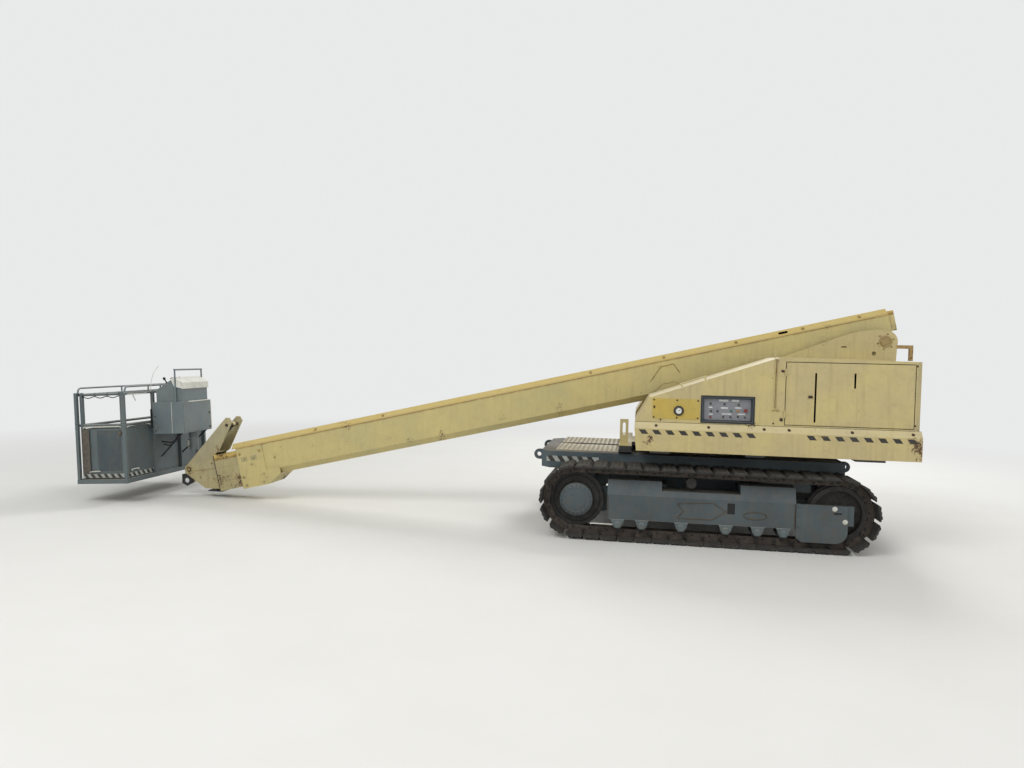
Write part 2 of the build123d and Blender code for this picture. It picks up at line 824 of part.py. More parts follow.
# Skirts: an open tray under each housing, its outer top edge turned in
with BuildPart() as skirt:
    with BuildSketch(side_plane(-housing_inner)):
        with BuildLine():
            Polyline(
                (skirt_toe, turntable_top),
                (skirt_front, skirt_band),
                (skirt_front + 7, skirt_top),
                (housing_rear, skirt_top),
                (housing_rear, turntable_top),
                close=True,
            )
        make_face()
    extrude(amount=skirt_outer - housing_inner)
    with BuildSketch(Plane.YZ.offset(skirt_front)):
        with BuildLine():
            Polyline(
                (-skirt_outer, turntable_top),
                (-skirt_outer, skirt_band),
                (-housing_outer, skirt_top),
                (-housing_inner, skirt_top),
                (-housing_inner, turntable_top),
                close=True,
            )
        make_face()
    extrude(amount=housing_rear - skirt_front, mode=Mode.INTERSECT)
    top = skirt.faces().sort_by(Axis.Z)[-1]
    offset(amount=-skirt_wall, openings=top, kind=Kind.INTERSECTION)

# Housings: a sheet shell with a sloping nose, open below, split at the kink of its roof
door_hinge_x = door_front - swing_gap
door_hinge_y = -(housing_outer + hinge_r)
strap = 4.0
grab_inset = 60.0
grab_along = 372.0
grab_length = 265.0
grab_rise = 38.0
grab_r = 8.0
with BuildPart() as housing:
    with BuildSketch(side_plane(-housing_inner)):
        with BuildLine():
            Polyline(
                (skirt_front + 7, skirt_top),
                (nose_x, nose_z),
                (roof_x, roof_z),
                (housing_rear, roof_rear_z),
                (housing_rear, skirt_top),
                close=True,
            )
        make_face()
    extrude(amount=housing_outer - housing_inner)
    rear_corner = housing.edges().filter_by(Axis.Z).group_by(Axis.X)[-1].sort_by(Axis.Y)[0]
    chamfer(rear_corner, length=rear_chamfer)
    under = housing.faces().sort_by(Axis.Z)[0]
    offset(amount=-housing_wall, openings=under, kind=Kind.INTERSECTION)

door_length = door_rear - door_front
door_height = door_top - door_bottom
door_middle = ((door_front + door_rear) / 2, (door_bottom + door_top) / 2)
with BuildPart() as front_cover:
    add(housing)
    with BuildSketch(side_plane(0)):
        with Locations((panel_seam + 2000, skirt_top)):
            Rectangle(4000, 4000)
    extrude(amount=2 * housing_outer, mode=Mode.SUBTRACT)

    slope = Vector(roof_x - nose_x, 0, roof_z - nose_z).normalized()
    over_nose = Vector(-slope.Z, 0, slope.X)
    grab_foot = Vector(nose_x, -(housing_outer - grab_inset), nose_z) + slope * grab_along
    for along in (0, grab_length):
        with BuildSketch(Plane(grab_foot + slope * along - over_nose, x_dir=slope, z_dir=over_nose)):
            Rectangle(2 * grab_r, 2 * grab_r)
        extrude(amount=grab_rise + 1)
    with BuildSketch(Plane(grab_foot + over_nose * grab_rise - slope * 20, x_dir=(0, 1, 0), z_dir=slope)):
        Circle(grab_r)
    extrude(amount=grab_length + 40)

with BuildPart() as rear_cover:
    add(housing)
    with BuildSketch(side_plane(0)):
        with Locations((panel_seam + seat - 2000, skirt_top)):
            Rectangle(4000, 4000)
    extrude(amount=2 * housing_outer, mode=Mode.SUBTRACT)
    with BuildSketch(side_plane(-housing_outer + 50)):
        with Locations(door_middle):
            Rectangle(door_length + 2 * swing_gap, door_height + 2 * swing_gap)
    extrude(amount=100, mode=Mode.SUBTRACT)
    for height in hinge_heights:
        with BuildSketch(Plane.XY.offset(height)):
            with Locations((door_hinge_x, door_hinge_y)):
                Circle(hinge_pin_r)
        extrude(amount=knuckle_length, both=True)
        for way in (-1, 1):
            with BuildSketch(Plane.XY.offset(height + way * (knuckle_length * 3 / 4 + seat))):
                with Locations((door_hinge_x, door_hinge_y)):
                    Rectangle(2 * knuckle_half, 2 * knuckle_half)
                with Locations((door_hinge_x - 22, -housing_outer - strap / 2)):
                    Rectangle(44, strap)
            extrude(amount=knuckle_length / 4, both=True)

# Doors: a flat panel with returned edges and two slots, hung on knuckles
with BuildPart() as door:
    with BuildSketch(side_plane(-housing_outer + door_return)):
        with Locations(door_middle):
            Rectangle(door_length, door_height)
    extrude(amount=door_return)
    inside = door.faces().sort_by(Axis.Y)[-1]
    offset(amount=-housing_wall, openings=inside, kind=Kind.INTERSECTION)
    with BuildSketch(side_plane(-housing_outer + door_return)):
        for x, lowest, highest in vent_slots:
            with Locations((x, (lowest + highest) / 2)):
                SlotOverall(highest - lowest, slot_width, rotation=90)
    extrude(amount=door_return, mode=Mode.SUBTRACT)
    for height in hinge_heights:
        with BuildSketch(Plane.XY.offset(height)):
            with Locations((door_hinge_x, door_hinge_y)):
                Circle(hinge_r)
            with Locations((door_hinge_x + 22, -housing_outer - strap / 2)):
                Rectangle(44, strap)
            with Locations((door_hinge_x, door_hinge_y)):
                Circle(hinge_pin_r + pin_fit, mode=Mode.SUBTRACT)
        extrude(amount=knuckle_length / 2, both=True)

# Ground controls, on the left only: a recessed tray and a gauge panel in front of it
controls_length = controls_rear - controls_front
controls_height = controls_top - controls_bottom
controls_middle = ((controls_front + controls_rear) / 2, (controls_bottom + controls_top) / 2)
release_x = 700.0
release_from, release_to = 1527.0, 2166.0  # the rod that frees the housing
release_r = 5.0
with BuildPart() as left_front_cover:
    add(front_cover)
    with BuildSketch(side_plane(-housing_outer + 50)):
        with Locations(controls_middle):
            Rectangle(controls_length, controls_height)
    extrude(amount=100, mode=Mode.SUBTRACT)
    with BuildSketch(Plane.XY.offset(release_from)):
        with Locations((release_x, -housing_outer - release_r + 1)):
            Circle(release_r)
    extrude(amount=release_to - release_from)
    with BuildSketch(side_plane(-housing_outer)):
        with Locations((release_x, release_from)):
            Rectangle(44, 22)
        with Locations((release_x, release_to - 10)):
            Rectangle(26, 20)
    extrude(amount=2 * release_r)

tray_sheet = 3.0
with BuildPart() as control_panel:
    with BuildSketch(side_plane(-housing_outer + controls_depth)):
        with Locations(controls_middle):
            Rectangle(controls_length - 2 * seat, controls_height - 2 * seat)
    extrude(amount=controls_depth)
    outside = control_panel.faces().sort_by(Axis.Y)[0]
    offset(amount=-tray_sheet, openings=outside, kind=Kind.INTERSECTION)
    with BuildSketch(side_plane(-housing_outer)):
        with Locations(controls_middle):
            Rectangle(controls_length + 2 * controls_frame, controls_height + 2 * controls_frame)
            Rectangle(controls_length - 2 * seat - 6, controls_height - 2 * seat - 6, mode=Mode.SUBTRACT)
    extrude(amount=tray_sheet)
control_panel.part.label = "control_panel"
export_step(control_panel.part, "parts/control_panel.step")

with BuildPart() as gauge_panel:
    with BuildSketch(side_plane(-housing_outer)):
        with Locations(((gauge_front + gauge_rear - controls_frame) / 2, (gauge_bottom + gauge_top) / 2)):
            Rectangle(gauge_rear - gauge_front - controls_frame, gauge_top - gauge_bottom)
    extrude(amount=strap)
    with BuildSketch(side_plane(-housing_outer)):
        with Locations((gauge_x, gauge_z)):
            Circle(gauge_r)
    extrude(amount=2 * strap)
gauge_panel.part.label = "gauge_panel"
export_step(gauge_panel.part, "parts/gauge_panel.step")

# Skirts and rear covers in pairs, front covers and doors in left and right hands
skirts = both_sides(skirt.part)
skirts.label = "skirts"
export_step(skirts, "parts/skirts.step")
rear_covers = both_sides(rear_cover.part)
rear_covers.label = "rear_covers"
export_step(rear_covers, "parts/rear_covers.step")
for name, left_piece, right_piece in (
    ("front_cover", left_front_cover.part, front_cover.part),
    ("door", door.part, door.part),
):
    for side in SIDES:
        handed = mirror(right_piece, about=Plane.XZ) if side == "right" else left_piece
        handed.label = f"{side}_{name}"
        export_step(handed, f"parts/{handed.label}.step")

# Engine: one block on the floor of the right-hand skirt
engine_inner = housing_inner + engine_from_cheek
engine_outer = housing_outer - engine_from_door
with BuildPart() as engine:
    with BuildSketch(Plane.XY.offset(turntable_top + skirt_wall)):
        with Locations(((engine_front + engine_rear) / 2, (engine_inner + engine_outer) / 2)):
            Rectangle(engine_rear - engine_front, engine_outer - engine_inner)
    extrude(amount=engine_height)
engine.part.label = "engine"
export_step(engine.part, "parts/engine.step")


def box_tube(start, length, width, top, depth, corner):
    """A straight length of the boom's box section, hollow, its four edges chamfered."""
    with BuildPart() as tube:
        with BuildSketch(boom_section(start)) as section:
            with Locations((0, top - depth / 2)):
                Rectangle(width, depth)
            chamfer(section.vertices(), corner)
            offset(amount=-boom_wall, kind=Kind.INTERSECTION, mode=Mode.SUBTRACT)
        extrude(amount=length)
    return tube.part


def pad_ring(start, inside, outside):
    """Four wear pads between two sections, each given by its half width, bottom and top."""
    half_in, bottom_in, top_in = inside
    half_out, bottom_out, top_out = outside
    with BuildPart() as ring:
        with BuildSketch(boom_section(start)):
            for way in (-1, 1):
                with Locations((way * (half_in + half_out) / 2, (bottom_in + top_in) / 2)):
                    Rectangle(half_out - half_in, wear_pad_width)
            with Locations((0, (bottom_in + bottom_out) / 2)):
                Rectangle(wear_pad_width, bottom_in - bottom_out)
            with Locations((0, (top_in + top_out) / 2)):
                Rectangle(wear_pad_width, top_out - top_in)
        extrude(amount=wear_pad_length)
    return ring.part


# Base section of the boom, with its collar, gusset, lip, pivot bosses and rod lugs
collar_start = base_length - collar_length
collar_bottom = base_bottom - collar_drop
rod_along, rod_over = along_and_over(lift_rod_x, lift_rod_z)
doubler_along = 2518.0
doubler_over = 121.0
doubler_r = 100.0
doubler_reach = 420.0
doubler_plate = 8.0
tail_reach = 80.0
tail_half = 150.0
tail_bottom = 100.0
tail_top = 340.0
base_tube = box_tube(-base_tail, base_length + base_tail, base_width, base_top, base_depth, edge_chamfer)
with BuildPart() as lip:
    add(box_tube(base_length, lip_length, base_width, base_top, base_depth, edge_chamfer))
    with BuildSketch(boom_side):
        with Locations((base_length + lip_length / 2, base_top - lip_height - base_depth / 2)):
            Rectangle(2 * lip_length, base_depth)
    extrude(amount=base_half, both=True, mode=Mode.SUBTRACT)
with BuildPart() as boom_base:
    add(base_tube)
    for way in (-1, 1):
        with BuildSketch(boom_side.offset(way * (base_half + collar_plate / 2))):
            with BuildLine():
                Polyline(
                    (collar_start, base_top - edge_chamfer),
                    (base_length, base_top - edge_chamfer),
                    (base_length, collar_bottom),
                    (collar_start, collar_bottom),
                    (collar_start - 193, base_bottom),
                    (collar_start - 193, base_bottom + edge_chamfer + 20),
                    (collar_start, base_bottom + edge_chamfer + 20),
                    close=True,
                )
            make_face()
        extrude(amount=collar_plate / 2, both=True)
        with BuildSketch(boom_side.offset(way * (base_half + doubler_plate / 2))):
            with Locations((doubler_along, doubler_over)):
                Circle(doubler_r)
            with BuildLine():
                Polyline(
                    (doubler_along - 60, doubler_over + 60),
                    (doubler_along + 60, doubler_over + 60),
                    (doubler_along + doubler_reach, base_bottom + edge_chamfer),
                    (doubler_along + doubler_reach - 190, base_bottom + edge_chamfer),
                    (doubler_along, doubler_over - 60),
                    (doubler_along - doubler_reach + 190, base_bottom + edge_chamfer),
                    (doubler_along - doubler_reach, base_bottom + edge_chamfer),
                    close=True,
                )
            make_face()
        extrude(amount=doubler_plate / 2, both=True)
        with BuildSketch(boom_side.offset(way * (lift_lug_from + lift_lug_plate / 2))):
            with Locations((rod_along, rod_over)):
                Circle(lift_eye_r - 10)
            with BuildLine():
                Polyline(
                    (rod_along - 150, base_bottom),
                    (rod_along + 150, base_bottom),
                    (rod_along + lift_eye_r - 10, rod_over),
                    (rod_along - lift_eye_r + 10, rod_over),
                    close=True,
                )
            make_face()
        extrude(amount=lift_lug_plate / 2, both=True)
        boss_end = cheek_inner - 5
        with BuildSketch(across(pivot_x, pivot_z, way * (base_half - 2 + boss_end) / 2)):
            Circle(pivot_boss_r)
        extrude(amount=(boss_end - base_half + 2) / 2, both=True)
    with BuildSketch(boom_side):
        with BuildLine():
            Polyline(
                (collar_start - 193, base_bottom),
                (collar_start, collar_bottom),
                (base_length, collar_bottom),
                (base_length, collar_bottom + collar_plate),
                (collar_start + 4, collar_bottom + collar_plate),
                (collar_start - 170, base_bottom),
                close=True,
            )
        make_face()
    extrude(amount=base_half + collar_plate, both=True)
    add(lip)
    with BuildSketch(boom_side):
        with Locations(along_and_over(948, 2395)):
            SlotOverall(112, 26)
    extrude(amount=base_half + 1, both=True, mode=Mode.SUBTRACT)
    with BuildSketch(boom_section(-base_tail)) as tail:
        with Locations((0, base_top - base_depth / 2)):
            Rectangle(base_width, base_depth)
        chamfer(tail.vertices(), edge_chamfer)
    extrude(amount=collar_plate)
    with BuildSketch(boom_side):
        with Locations((-base_tail - tail_reach / 2, (tail_bottom + tail_top) / 2)):
            Rectangle(tail_reach, tail_top - tail_bottom)
    extrude(amount=tail_half, both=True)
    with BuildSketch(across(pivot_x, pivot_z)):
        Circle(pivot_pin_r + pin_fit)
    extrude(amount=cheek_inner, both=True, mode=Mode.SUBTRACT)
boom_base.part.label = "boom_base"
export_step(boom_base.part, "parts/boom_base.step")

# Wear pads at the mouth of the base section
base_inside = (base_half - boom_wall, base_bottom + boom_wall, base_top - boom_wall)
middle_outside = (middle_half, middle_bottom, middle_top)
middle_inside = (middle_half - boom_wall, middle_bottom + boom_wall, middle_top - boom_wall)
tip_outside = (tip_half, tip_bottom, tip_top)


def moved_in(section, gap):
    """A section made smaller all round by a gap; larger where the gap is negative."""
    half, bottom, top = section
    return half - gap, bottom + gap, top - gap


base_pads = pad_ring(base_length - wear_pad_length, moved_in(middle_outside, -seat), base_inside)
base_pads.label = "base_pads"
export_step(base_pads, "parts/base_pads.step")

# Middle section, with the block round its front end
middle_length = middle_block_end - middle_start
middle_depth = middle_top - middle_bottom
middle_tube = box_tube(middle_start, middle_length, 2 * middle_half, middle_top, middle_depth, inner_chamfer)
block_start = base_length + section_gap
block_middle = (block_start + middle_block_end) / 2
with BuildPart() as boom_middle:
    add(middle_tube)
    for way in (-1, 1):
        with BuildSketch(boom_side.offset(way * (middle_half + block_plate / 2))):
            with Locations((block_middle, (middle_block_top + middle_block_bottom) / 2)):
                Rectangle(middle_block_end - block_start, middle_block_top - middle_block_bottom)
        extrude(amount=block_plate / 2, both=True)
    with BuildSketch(boom_side):
        for level in (middle_block_top - block_plate / 2, middle_block_bottom + block_plate / 2):
            with Locations((block_middle, level)):
                Rectangle(middle_block_end - block_start, block_plate)
        with Locations((middle_block_end - block_plate / 2, (middle_bottom + middle_block_bottom) / 2)):
            Rectangle(block_plate, middle_bottom - middle_block_bottom)
    extrude(amount=middle_block_half, both=True)
boom_middle.part.label = "boom_middle"
export_step(boom_middle.part, "parts/boom_middle.step")

middle_pads = pad_ring(middle_start, middle_outside, moved_in(base_inside, seat))
front_pads = pad_ring(middle_block_end - wear_pad_length, moved_in(tip_outside, -seat), middle_inside)
with BuildPart() as pads_of_middle:
    add(middle_pads)
    add(front_pads)
pads_of_middle.part.label = "middle_pads"
export_step(pads_of_middle.part, "parts/middle_pads.step")

# Tip section, which carries the boom head: two shaped plates, the sheets that close them,
# a towing lug and a rest foot
tip_depth = tip_top - tip_bottom
tip_tube = box_tube(tip_start, tip_end - tip_start, 2 * tip_half, tip_top, tip_depth, inner_chamfer)
head_corners = (  # corners of the head plate in X and Z, from the foot pin
    (-62.0, -49.0),
    (243.0, -247.0),
    (488.0, -247.0),
    (381.0, 228.0),
    (437.0, 268.0),
    (624.0, 680.0),
    (588.0, 733.0),
    (533.0, 733.0),
    (443.0, 628.0),
    (-43.0, 48.0),
)
head_sill = ((73.0, -135.0), (243.0, -245.0), (483.0, -245.0))
head_brow = ((193.0, 148.0), (273.0, 228.0), (388.0, 248.0))
head_sheet = 14.0
tow_lug = (
    (-197.0, -97.0),
    (-97.0, -72.0),
    (90.0, -138.0),
    (70.0, -160.0),
    (-117.0, -257.0),
    (-192.0, -222.0),
)
tow_lug_half = 10.0
tow_hole = (-122.0, -182.0)
tow_hole_r = 36.0
rest_foot = (  # the rest foot under the head, seen from the side
    (275.0, -292.0),
    (475.0, -292.0),
    (475.0, -277.0),
    (405.0, -277.0),
    (405.0, -240.0),
    (345.0, -240.0),
    (345.0, -277.0),
    (275.0, -277.0),
)


def from_foot_pin(corners):
    """Corners given from the foot pin, as places in the machine's X and Z."""
    return [(foot_pin_x + x, foot_pin_z + z) for x, z in corners]


with BuildPart() as boom_tip:
    add(tip_tube)
    with BuildSketch(boom_section(tip_end)):
        with Locations((0, (tip_top + tip_bottom) / 2)):
            Rectangle(2 * head_half, tip_depth + 40)
    extrude(amount=head_flange)
    for way in (-1, 1):
        with BuildSketch(side_plane(way * (head_half - head_plate / 2))):
            with BuildLine():
                Polyline(*from_foot_pin(head_corners), close=True)
            make_face()
            with Locations((foot_pin_x, foot_pin_z)):
                Circle(foot_boss_r + 5)
        extrude(amount=head_plate / 2, both=True)
    for places in (head_sill, head_brow):
        with BuildSketch(side_plane(0)):
            with BuildLine() as run:
                Polyline(*from_foot_pin(places))
            trace(run.line, head_sheet)
        extrude(amount=head_half - head_plate, both=True)
    with BuildSketch(side_plane(0)):
        with BuildLine():
            Polyline(*from_foot_pin(tow_lug), close=True)
        make_face()
        with Locations(*from_foot_pin((tow_hole,))):
            Circle(tow_hole_r, mode=Mode.SUBTRACT)
    extrude(amount=tow_lug_half, both=True)
    with BuildSketch(side_plane(0)):
        with BuildLine():
            Polyline(*from_foot_pin(rest_foot), close=True)
        make_face()
    extrude(amount=head_half - head_plate, both=True)
    with BuildSketch(side_plane(0)):
        with Locations((foot_pin_x, foot_pin_z)):
            Circle(foot_pin_r)
        with Locations((arm_pin_x, arm_pin_z)):
            Circle(arm_pin_r)
    extrude(amount=2 * head_half, both=True, mode=Mode.SUBTRACT)
boom_tip.part.label = "boom_tip"
export_step(boom_tip.part, "parts/boom_tip.step")

tip_pads = pad_ring(tip_start, tip_outside, moved_in(middle_inside, seat))
tip_pads.label = "tip_pads"
export_step(tip_pads, "parts/tip_pads.step")

with BuildPart() as head_pins:
    with BuildSketch(side_plane(0)):
        with Locations((foot_pin_x, foot_pin_z)):
            Circle(foot_pin_r)
        with Locations((arm_pin_x, arm_pin_z)):
            Circle(arm_pin_r)
    extrude(amount=head_half + keeper, both=True)
head_pins.part.label = "head_pins"
export_step(head_pins.part, "parts/head_pins.step")


def cylinder(foot, head, barrel_length, radii, eye_half):
    """Barrel and rod of a closed cylinder between two pins, each with an eye on its pin."""
    barrel_r, bore_r, rod_r, eye_radius, pin_radius = radii
    reach = head - foot
    line = reach.normalized()
    start = eye_radius * 1.5
    cap = barrel_r / 3
    neck = eye_half * 0.97

    def at(distance):
        """Plane square to the cylinder at a distance from the pin of its barrel."""
        return Plane(foot + line * distance, x_dir=(0, 1, 0), z_dir=line)

    with BuildPart() as barrel:
        with BuildSketch(across(foot.X, foot.Z)):
            Circle(eye_radius)
        extrude(amount=eye_half, both=True)
        with BuildSketch(at(0)):
            Rectangle(2 * eye_half, 1.6 * eye_radius)
        extrude(amount=start)
        with BuildSketch(at(start)):
            Circle(barrel_r)
        extrude(amount=barrel_length - start)
        with BuildSketch(at(start + cap)):
            Circle(bore_r)
        extrude(amount=barrel_length - start - 2 * cap, mode=Mode.SUBTRACT)
        with BuildSketch(at(start + cap)):
            Circle(rod_r + pin_fit)
        extrude(amount=barrel_length, mode=Mode.SUBTRACT)
        with BuildSketch(across(foot.X, foot.Z)):
            Circle(pin_radius + pin_fit)
        extrude(amount=eye_half, both=True, mode=Mode.SUBTRACT)

    with BuildPart() as rod:
        with BuildSketch(at(start + cap + 6)):
            Circle(bore_r - pin_fit)
        extrude(amount=rod_r)
        with BuildSketch(at(start + cap + 6)):
            Circle(rod_r)
        extrude(amount=reach.length - start - cap - 6 - eye_radius)
        with BuildSketch(at(reach.length - eye_radius - 10)):
            Circle(neck)
        extrude(amount=eye_radius)
        with BuildSketch(across(head.X, head.Z)):
            Circle(eye_radius)
        extrude(amount=eye_half, both=True)
        with BuildSketch(across(head.X, head.Z)):
            Circle(pin_radius + pin_fit)
        extrude(amount=eye_half, both=True, mode=Mode.SUBTRACT)
    return barrel.part, rod.part


# Lift cylinder, from the turntable to the lugs under the boom
lift_foot = Vector(lift_base_x, 0, lift_base_z)
lift_head = Vector(lift_rod_x, 0, lift_rod_z)
lift_radii = (lift_barrel_r, lift_barrel_r - lift_wall, lift_rod_r, lift_eye_r, lift_pin_r)
lift_barrel, lift_rod = cylinder(lift_foot, lift_head, lift_barrel_length, lift_radii, lift_eye_half)
lift_barrel.label = "lift_barrel"
export_step(lift_barrel, "parts/lift_barrel.step")
lift_rod.label = "lift_rod"
export_step(lift_rod, "parts/lift_rod.step")

# Levelling cylinder, from the head's arm to the lever on the basket's bracket
lever_angle = radians(level_arm_angle)
lever_x = foot_pin_x + level_arm * cos(lever_angle)
lever_z = foot_pin_z + level_arm * sin(lever_angle)
level_foot = Vector(arm_pin_x, 0, arm_pin_z)
level_head = Vector(lever_x, 0, lever_z)
level_radii = (level_barrel_r, level_barrel_r - level_wall, level_rod_r, level_eye_r, level_pin_r)
level_barrel, level_rod = cylinder(level_foot, level_head, level_barrel_length, level_radii, level_eye_half)
level_barrel.label = "level_barrel"
export_step(level_barrel, "parts/level_barrel.step")
level_rod.label = "level_rod"
export_step(level_rod, "parts/level_rod.step")

# Planes of the basket, which leans with its post: level, end and face
lean = radians(basket_tilt)
basket_out = Vector(cos(lean), 0, sin(lean))
basket_up = Vector(-sin(lean), 0, cos(lean))


def basket_level(up):
    """Plane of a basket level: X of the sketch towards the boom, Y across."""
    return Plane(foot_pin_place + basket_up * up, x_dir=basket_out, z_dir=basket_up)


def basket_end(y):
    """Upright plane along the basket's depth: X towards the boom, Y up, facing the left side."""
    return Plane(foot_pin_place + Vector(0, y, 0), x_dir=basket_out, z_dir=(0, -1, 0))


def basket_face(out):
    """Upright plane across the basket: X across, Y up, facing the boom."""
    return Plane(foot_pin_place + basket_out * out, x_dir=(0, 1, 0), z_dir=basket_out)


# Bracket: a boss on the foot pin, a fork that leaves room for the levelling cylinder's eye
# and carries its lever, a post with a thinner spigot, and a pipe up the post
bracket_half = head_half - head_plate - 6
lever_plate = 18.0
lever_gap = 5.0
pipe_r = 9.0
pipe_out = -85.0
pipe_from, pipe_to = 275.0, 425.0
with BuildPart() as platform_bracket:
    with BuildSketch(across(foot_pin_x, foot_pin_z)):
        Circle(foot_boss_r - 2)
    extrude(amount=bracket_half, both=True)
    with BuildSketch(basket_level(post_start)):
        Circle(post_r)
    extrude(amount=post_top - post_start)
    for way in (-1, 1):
        with BuildSketch(basket_end(way * (level_eye_half + lever_gap + lever_plate / 2))):
            with Locations((0, (post_start + 20) / 2)):
                Rectangle(2 * post_r - 20, post_start + 20)
        extrude(amount=lever_plate / 2, both=True)
    with BuildSketch(basket_level(pipe_from)):
        with Locations((pipe_out, 0)):
            Circle(pipe_r)
    extrude(amount=pipe_to - pipe_from)
    with BuildSketch(basket_face(pipe_out)):
        with Locations((0, pipe_from + 25), (0, pipe_to - 25)):
            Rectangle(3 * pipe_r, 2 * pipe_r)
    extrude(amount=-pipe_out)
    with BuildSketch(basket_level(post_top)):
        Circle(spigot_r)
    extrude(amount=spigot_top - post_top)
    for way in (-1, 1):
        with BuildSketch(side_plane(way * (level_eye_half + lever_gap + lever_plate / 2))):
            with Locations((lever_x, lever_z)):
                Circle(level_eye_r)
            with BuildLine():
                Polyline(
                    (foot_pin_x + 55, foot_pin_z),
                    (lever_x + level_eye_r, lever_z),
                    (lever_x - level_eye_r, lever_z),
                    (foot_pin_x - 30, foot_pin_z + 120),
                    (foot_pin_x - 30, foot_pin_z),
                    close=True,
                )
            make_face()
        extrude(amount=lever_plate / 2, both=True)
    with BuildSketch(across(foot_pin_x, foot_pin_z)):
        Circle(foot_pin_r + pin_fit)
    extrude(amount=head_half, both=True, mode=Mode.SUBTRACT)
platform_bracket.part.label = "platform_bracket"
export_step(platform_bracket.part, "parts/platform_bracket.step")

# Basket frame: floor beams, posts and two levels of rails
floor_beam = 50.0
floor_top = basket_floor_under + basket_floor_depth
beam_top = floor_top - basket_sheet
basket_outer = basket_inner - basket_depth
basket_centre = (basket_inner + basket_outer) / 2
post_out = basket_outer + tube_r + post_inset
post_in = basket_inner - tube_r - post_inset
post_end = basket_half - tube_r - post_inset
mount_post = cabinet_half - 40.0
post_places = (
    (post_out, -post_end),
    (post_out, 0.0),
    (post_out, post_end),
    (post_in, -post_end),
    (post_in, -mount_post),
    (post_in, mount_post),
    (post_in, post_end),
)
gate_hinge = (post_out + 51.0, -post_end + 41.0)
gate_pin_r = 8.0
gate_low = 2.0
gate_top = basket_rail + tube_r
bracket_sheet = 6.0
sleeve_from = post_top + seat
sleeve_top = spigot_top + 4
arm_from, arm_to = 560.0, 840.0
mount_plate = 14.0
with BuildPart() as basket_frame:
    with BuildSketch(basket_level(basket_floor_under)):
        with Locations((basket_centre, 0)):
            Rectangle(basket_depth, 2 * basket_half)
            Rectangle(basket_depth - 2 * floor_beam, 2 * (basket_half - floor_beam), mode=Mode.SUBTRACT)
        for y in (-mount_post, mount_post):
            with Locations((basket_centre, y)):
                Rectangle(basket_depth, floor_beam)
    extrude(amount=beam_top - basket_floor_under)
    with BuildSketch(basket_level(beam_top)):
        with Locations(*post_places):
            Rectangle(2 * tube_r, 2 * tube_r)
    extrude(amount=basket_rail - beam_top)
    with BuildSketch(basket_level(basket_rail)):
        with Locations((post_out, -post_end)):
            Rectangle(2 * tube_r, 2 * tube_r)
    extrude(amount=tube_r + bracket_sheet + 3)
    for rail in (basket_mid_rail, basket_rail):
        with BuildSketch(basket_end(post_end)):
            with Locations((post_out, rail), (post_in, rail)):
                Circle(rail_r)
        extrude(amount=2 * post_end)
        with BuildSketch(basket_face(post_out)):
            with Locations((post_end, rail)):
                Circle(rail_r - 1)
        extrude(amount=post_in - post_out)
    for level, way in ((gate_low - 4, -1), (gate_top + 3, 1)):
        with BuildSketch(basket_level(level)):
            with BuildLine():
                hinge_u, hinge_v = gate_hinge
                Polyline(
                    (post_out - 14, -post_end - 14),
                    (post_out + 14, -post_end - 14),
                    (hinge_u + 14, hinge_v - 14),
                    (hinge_u + 14, hinge_v + 14),
                    (hinge_u - 14, hinge_v + 14),
                    (post_out - 14, -post_end + 14),
                    close=True,
                )
            make_face()
        extrude(amount=way * bracket_sheet)
        with BuildSketch(basket_level(level)):
            with Locations(gate_hinge):
                Circle(gate_pin_r)
        extrude(amount=-way * 28)
basket_frame.part.label = "basket_frame"
export_step(basket_frame.part, "parts/basket_frame.step")

# Basket mount: a sleeve that turns on the spigot, two arms, and a plate bolted to two posts
mount_back = post_in + tube_r + seat
mount_half = mount_post + tube_r + 8
with BuildPart() as basket_mount:
    with BuildSketch(basket_level(sleeve_from)):
        Circle(spigot_r + sleeve_wall)
    extrude(amount=sleeve_top - sleeve_from)
    for way in (-1, 1):
        with BuildSketch(basket_end(way * (spigot_r + sleeve_wall / 2))):
            with BuildLine():
                Polyline(
                    (mount_back, arm_from),
                    (mount_back, arm_to),
                    (0, sleeve_top - 10),
                    (0, arm_from),
                    close=True,
                )
            make_face()
        extrude(amount=6, both=True)
    with BuildSketch(basket_face(mount_back)):
        with Locations((0, (arm_from + arm_to) / 2)):
            Rectangle(2 * mount_half, arm_to - arm_from)
    extrude(amount=mount_plate)
    with BuildSketch(basket_level(sleeve_from)):
        Circle(spigot_r + pin_fit)
    extrude(amount=sleeve_top - sleeve_from, mode=Mode.SUBTRACT)
basket_mount.part.label = "basket_mount"
export_step(basket_mount.part, "parts/basket_mount.step")

# Basket floor and panels
sheet_inset = 2 * tube_r + post_inset + basket_sheet + 1
with BuildPart() as basket_floor:
    with BuildSketch(basket_level(beam_top)):
        with Locations((basket_centre, 0)):
            Rectangle(basket_depth - 2 * sheet_inset, 2 * (basket_half - sheet_inset))
    extrude(amount=basket_sheet)
basket_floor.part.label = "basket_floor"
export_step(basket_floor.part, "parts/basket_floor.step")

panel_low = floor_top
panel_end = post_end - tube_r
panel_start = gate_hinge[1] + 20
with BuildPart() as basket_panels:
    with BuildSketch(basket_level(panel_low)):
        for u in (post_out + tube_r + basket_sheet / 2, post_in - tube_r - basket_sheet / 2):
            with Locations((u, (panel_end + panel_start) / 2)):
                Rectangle(basket_sheet, panel_end - panel_start)
        with Locations((basket_centre, post_end - tube_r - basket_sheet / 2)):
            Rectangle(post_in - post_out - 2 * tube_r - 2 * basket_sheet, basket_sheet)
    extrude(amount=basket_panel_top - panel_low)
basket_panels.part.label = "basket_panels"
export_step(basket_panels.part, "parts/basket_panels.step")

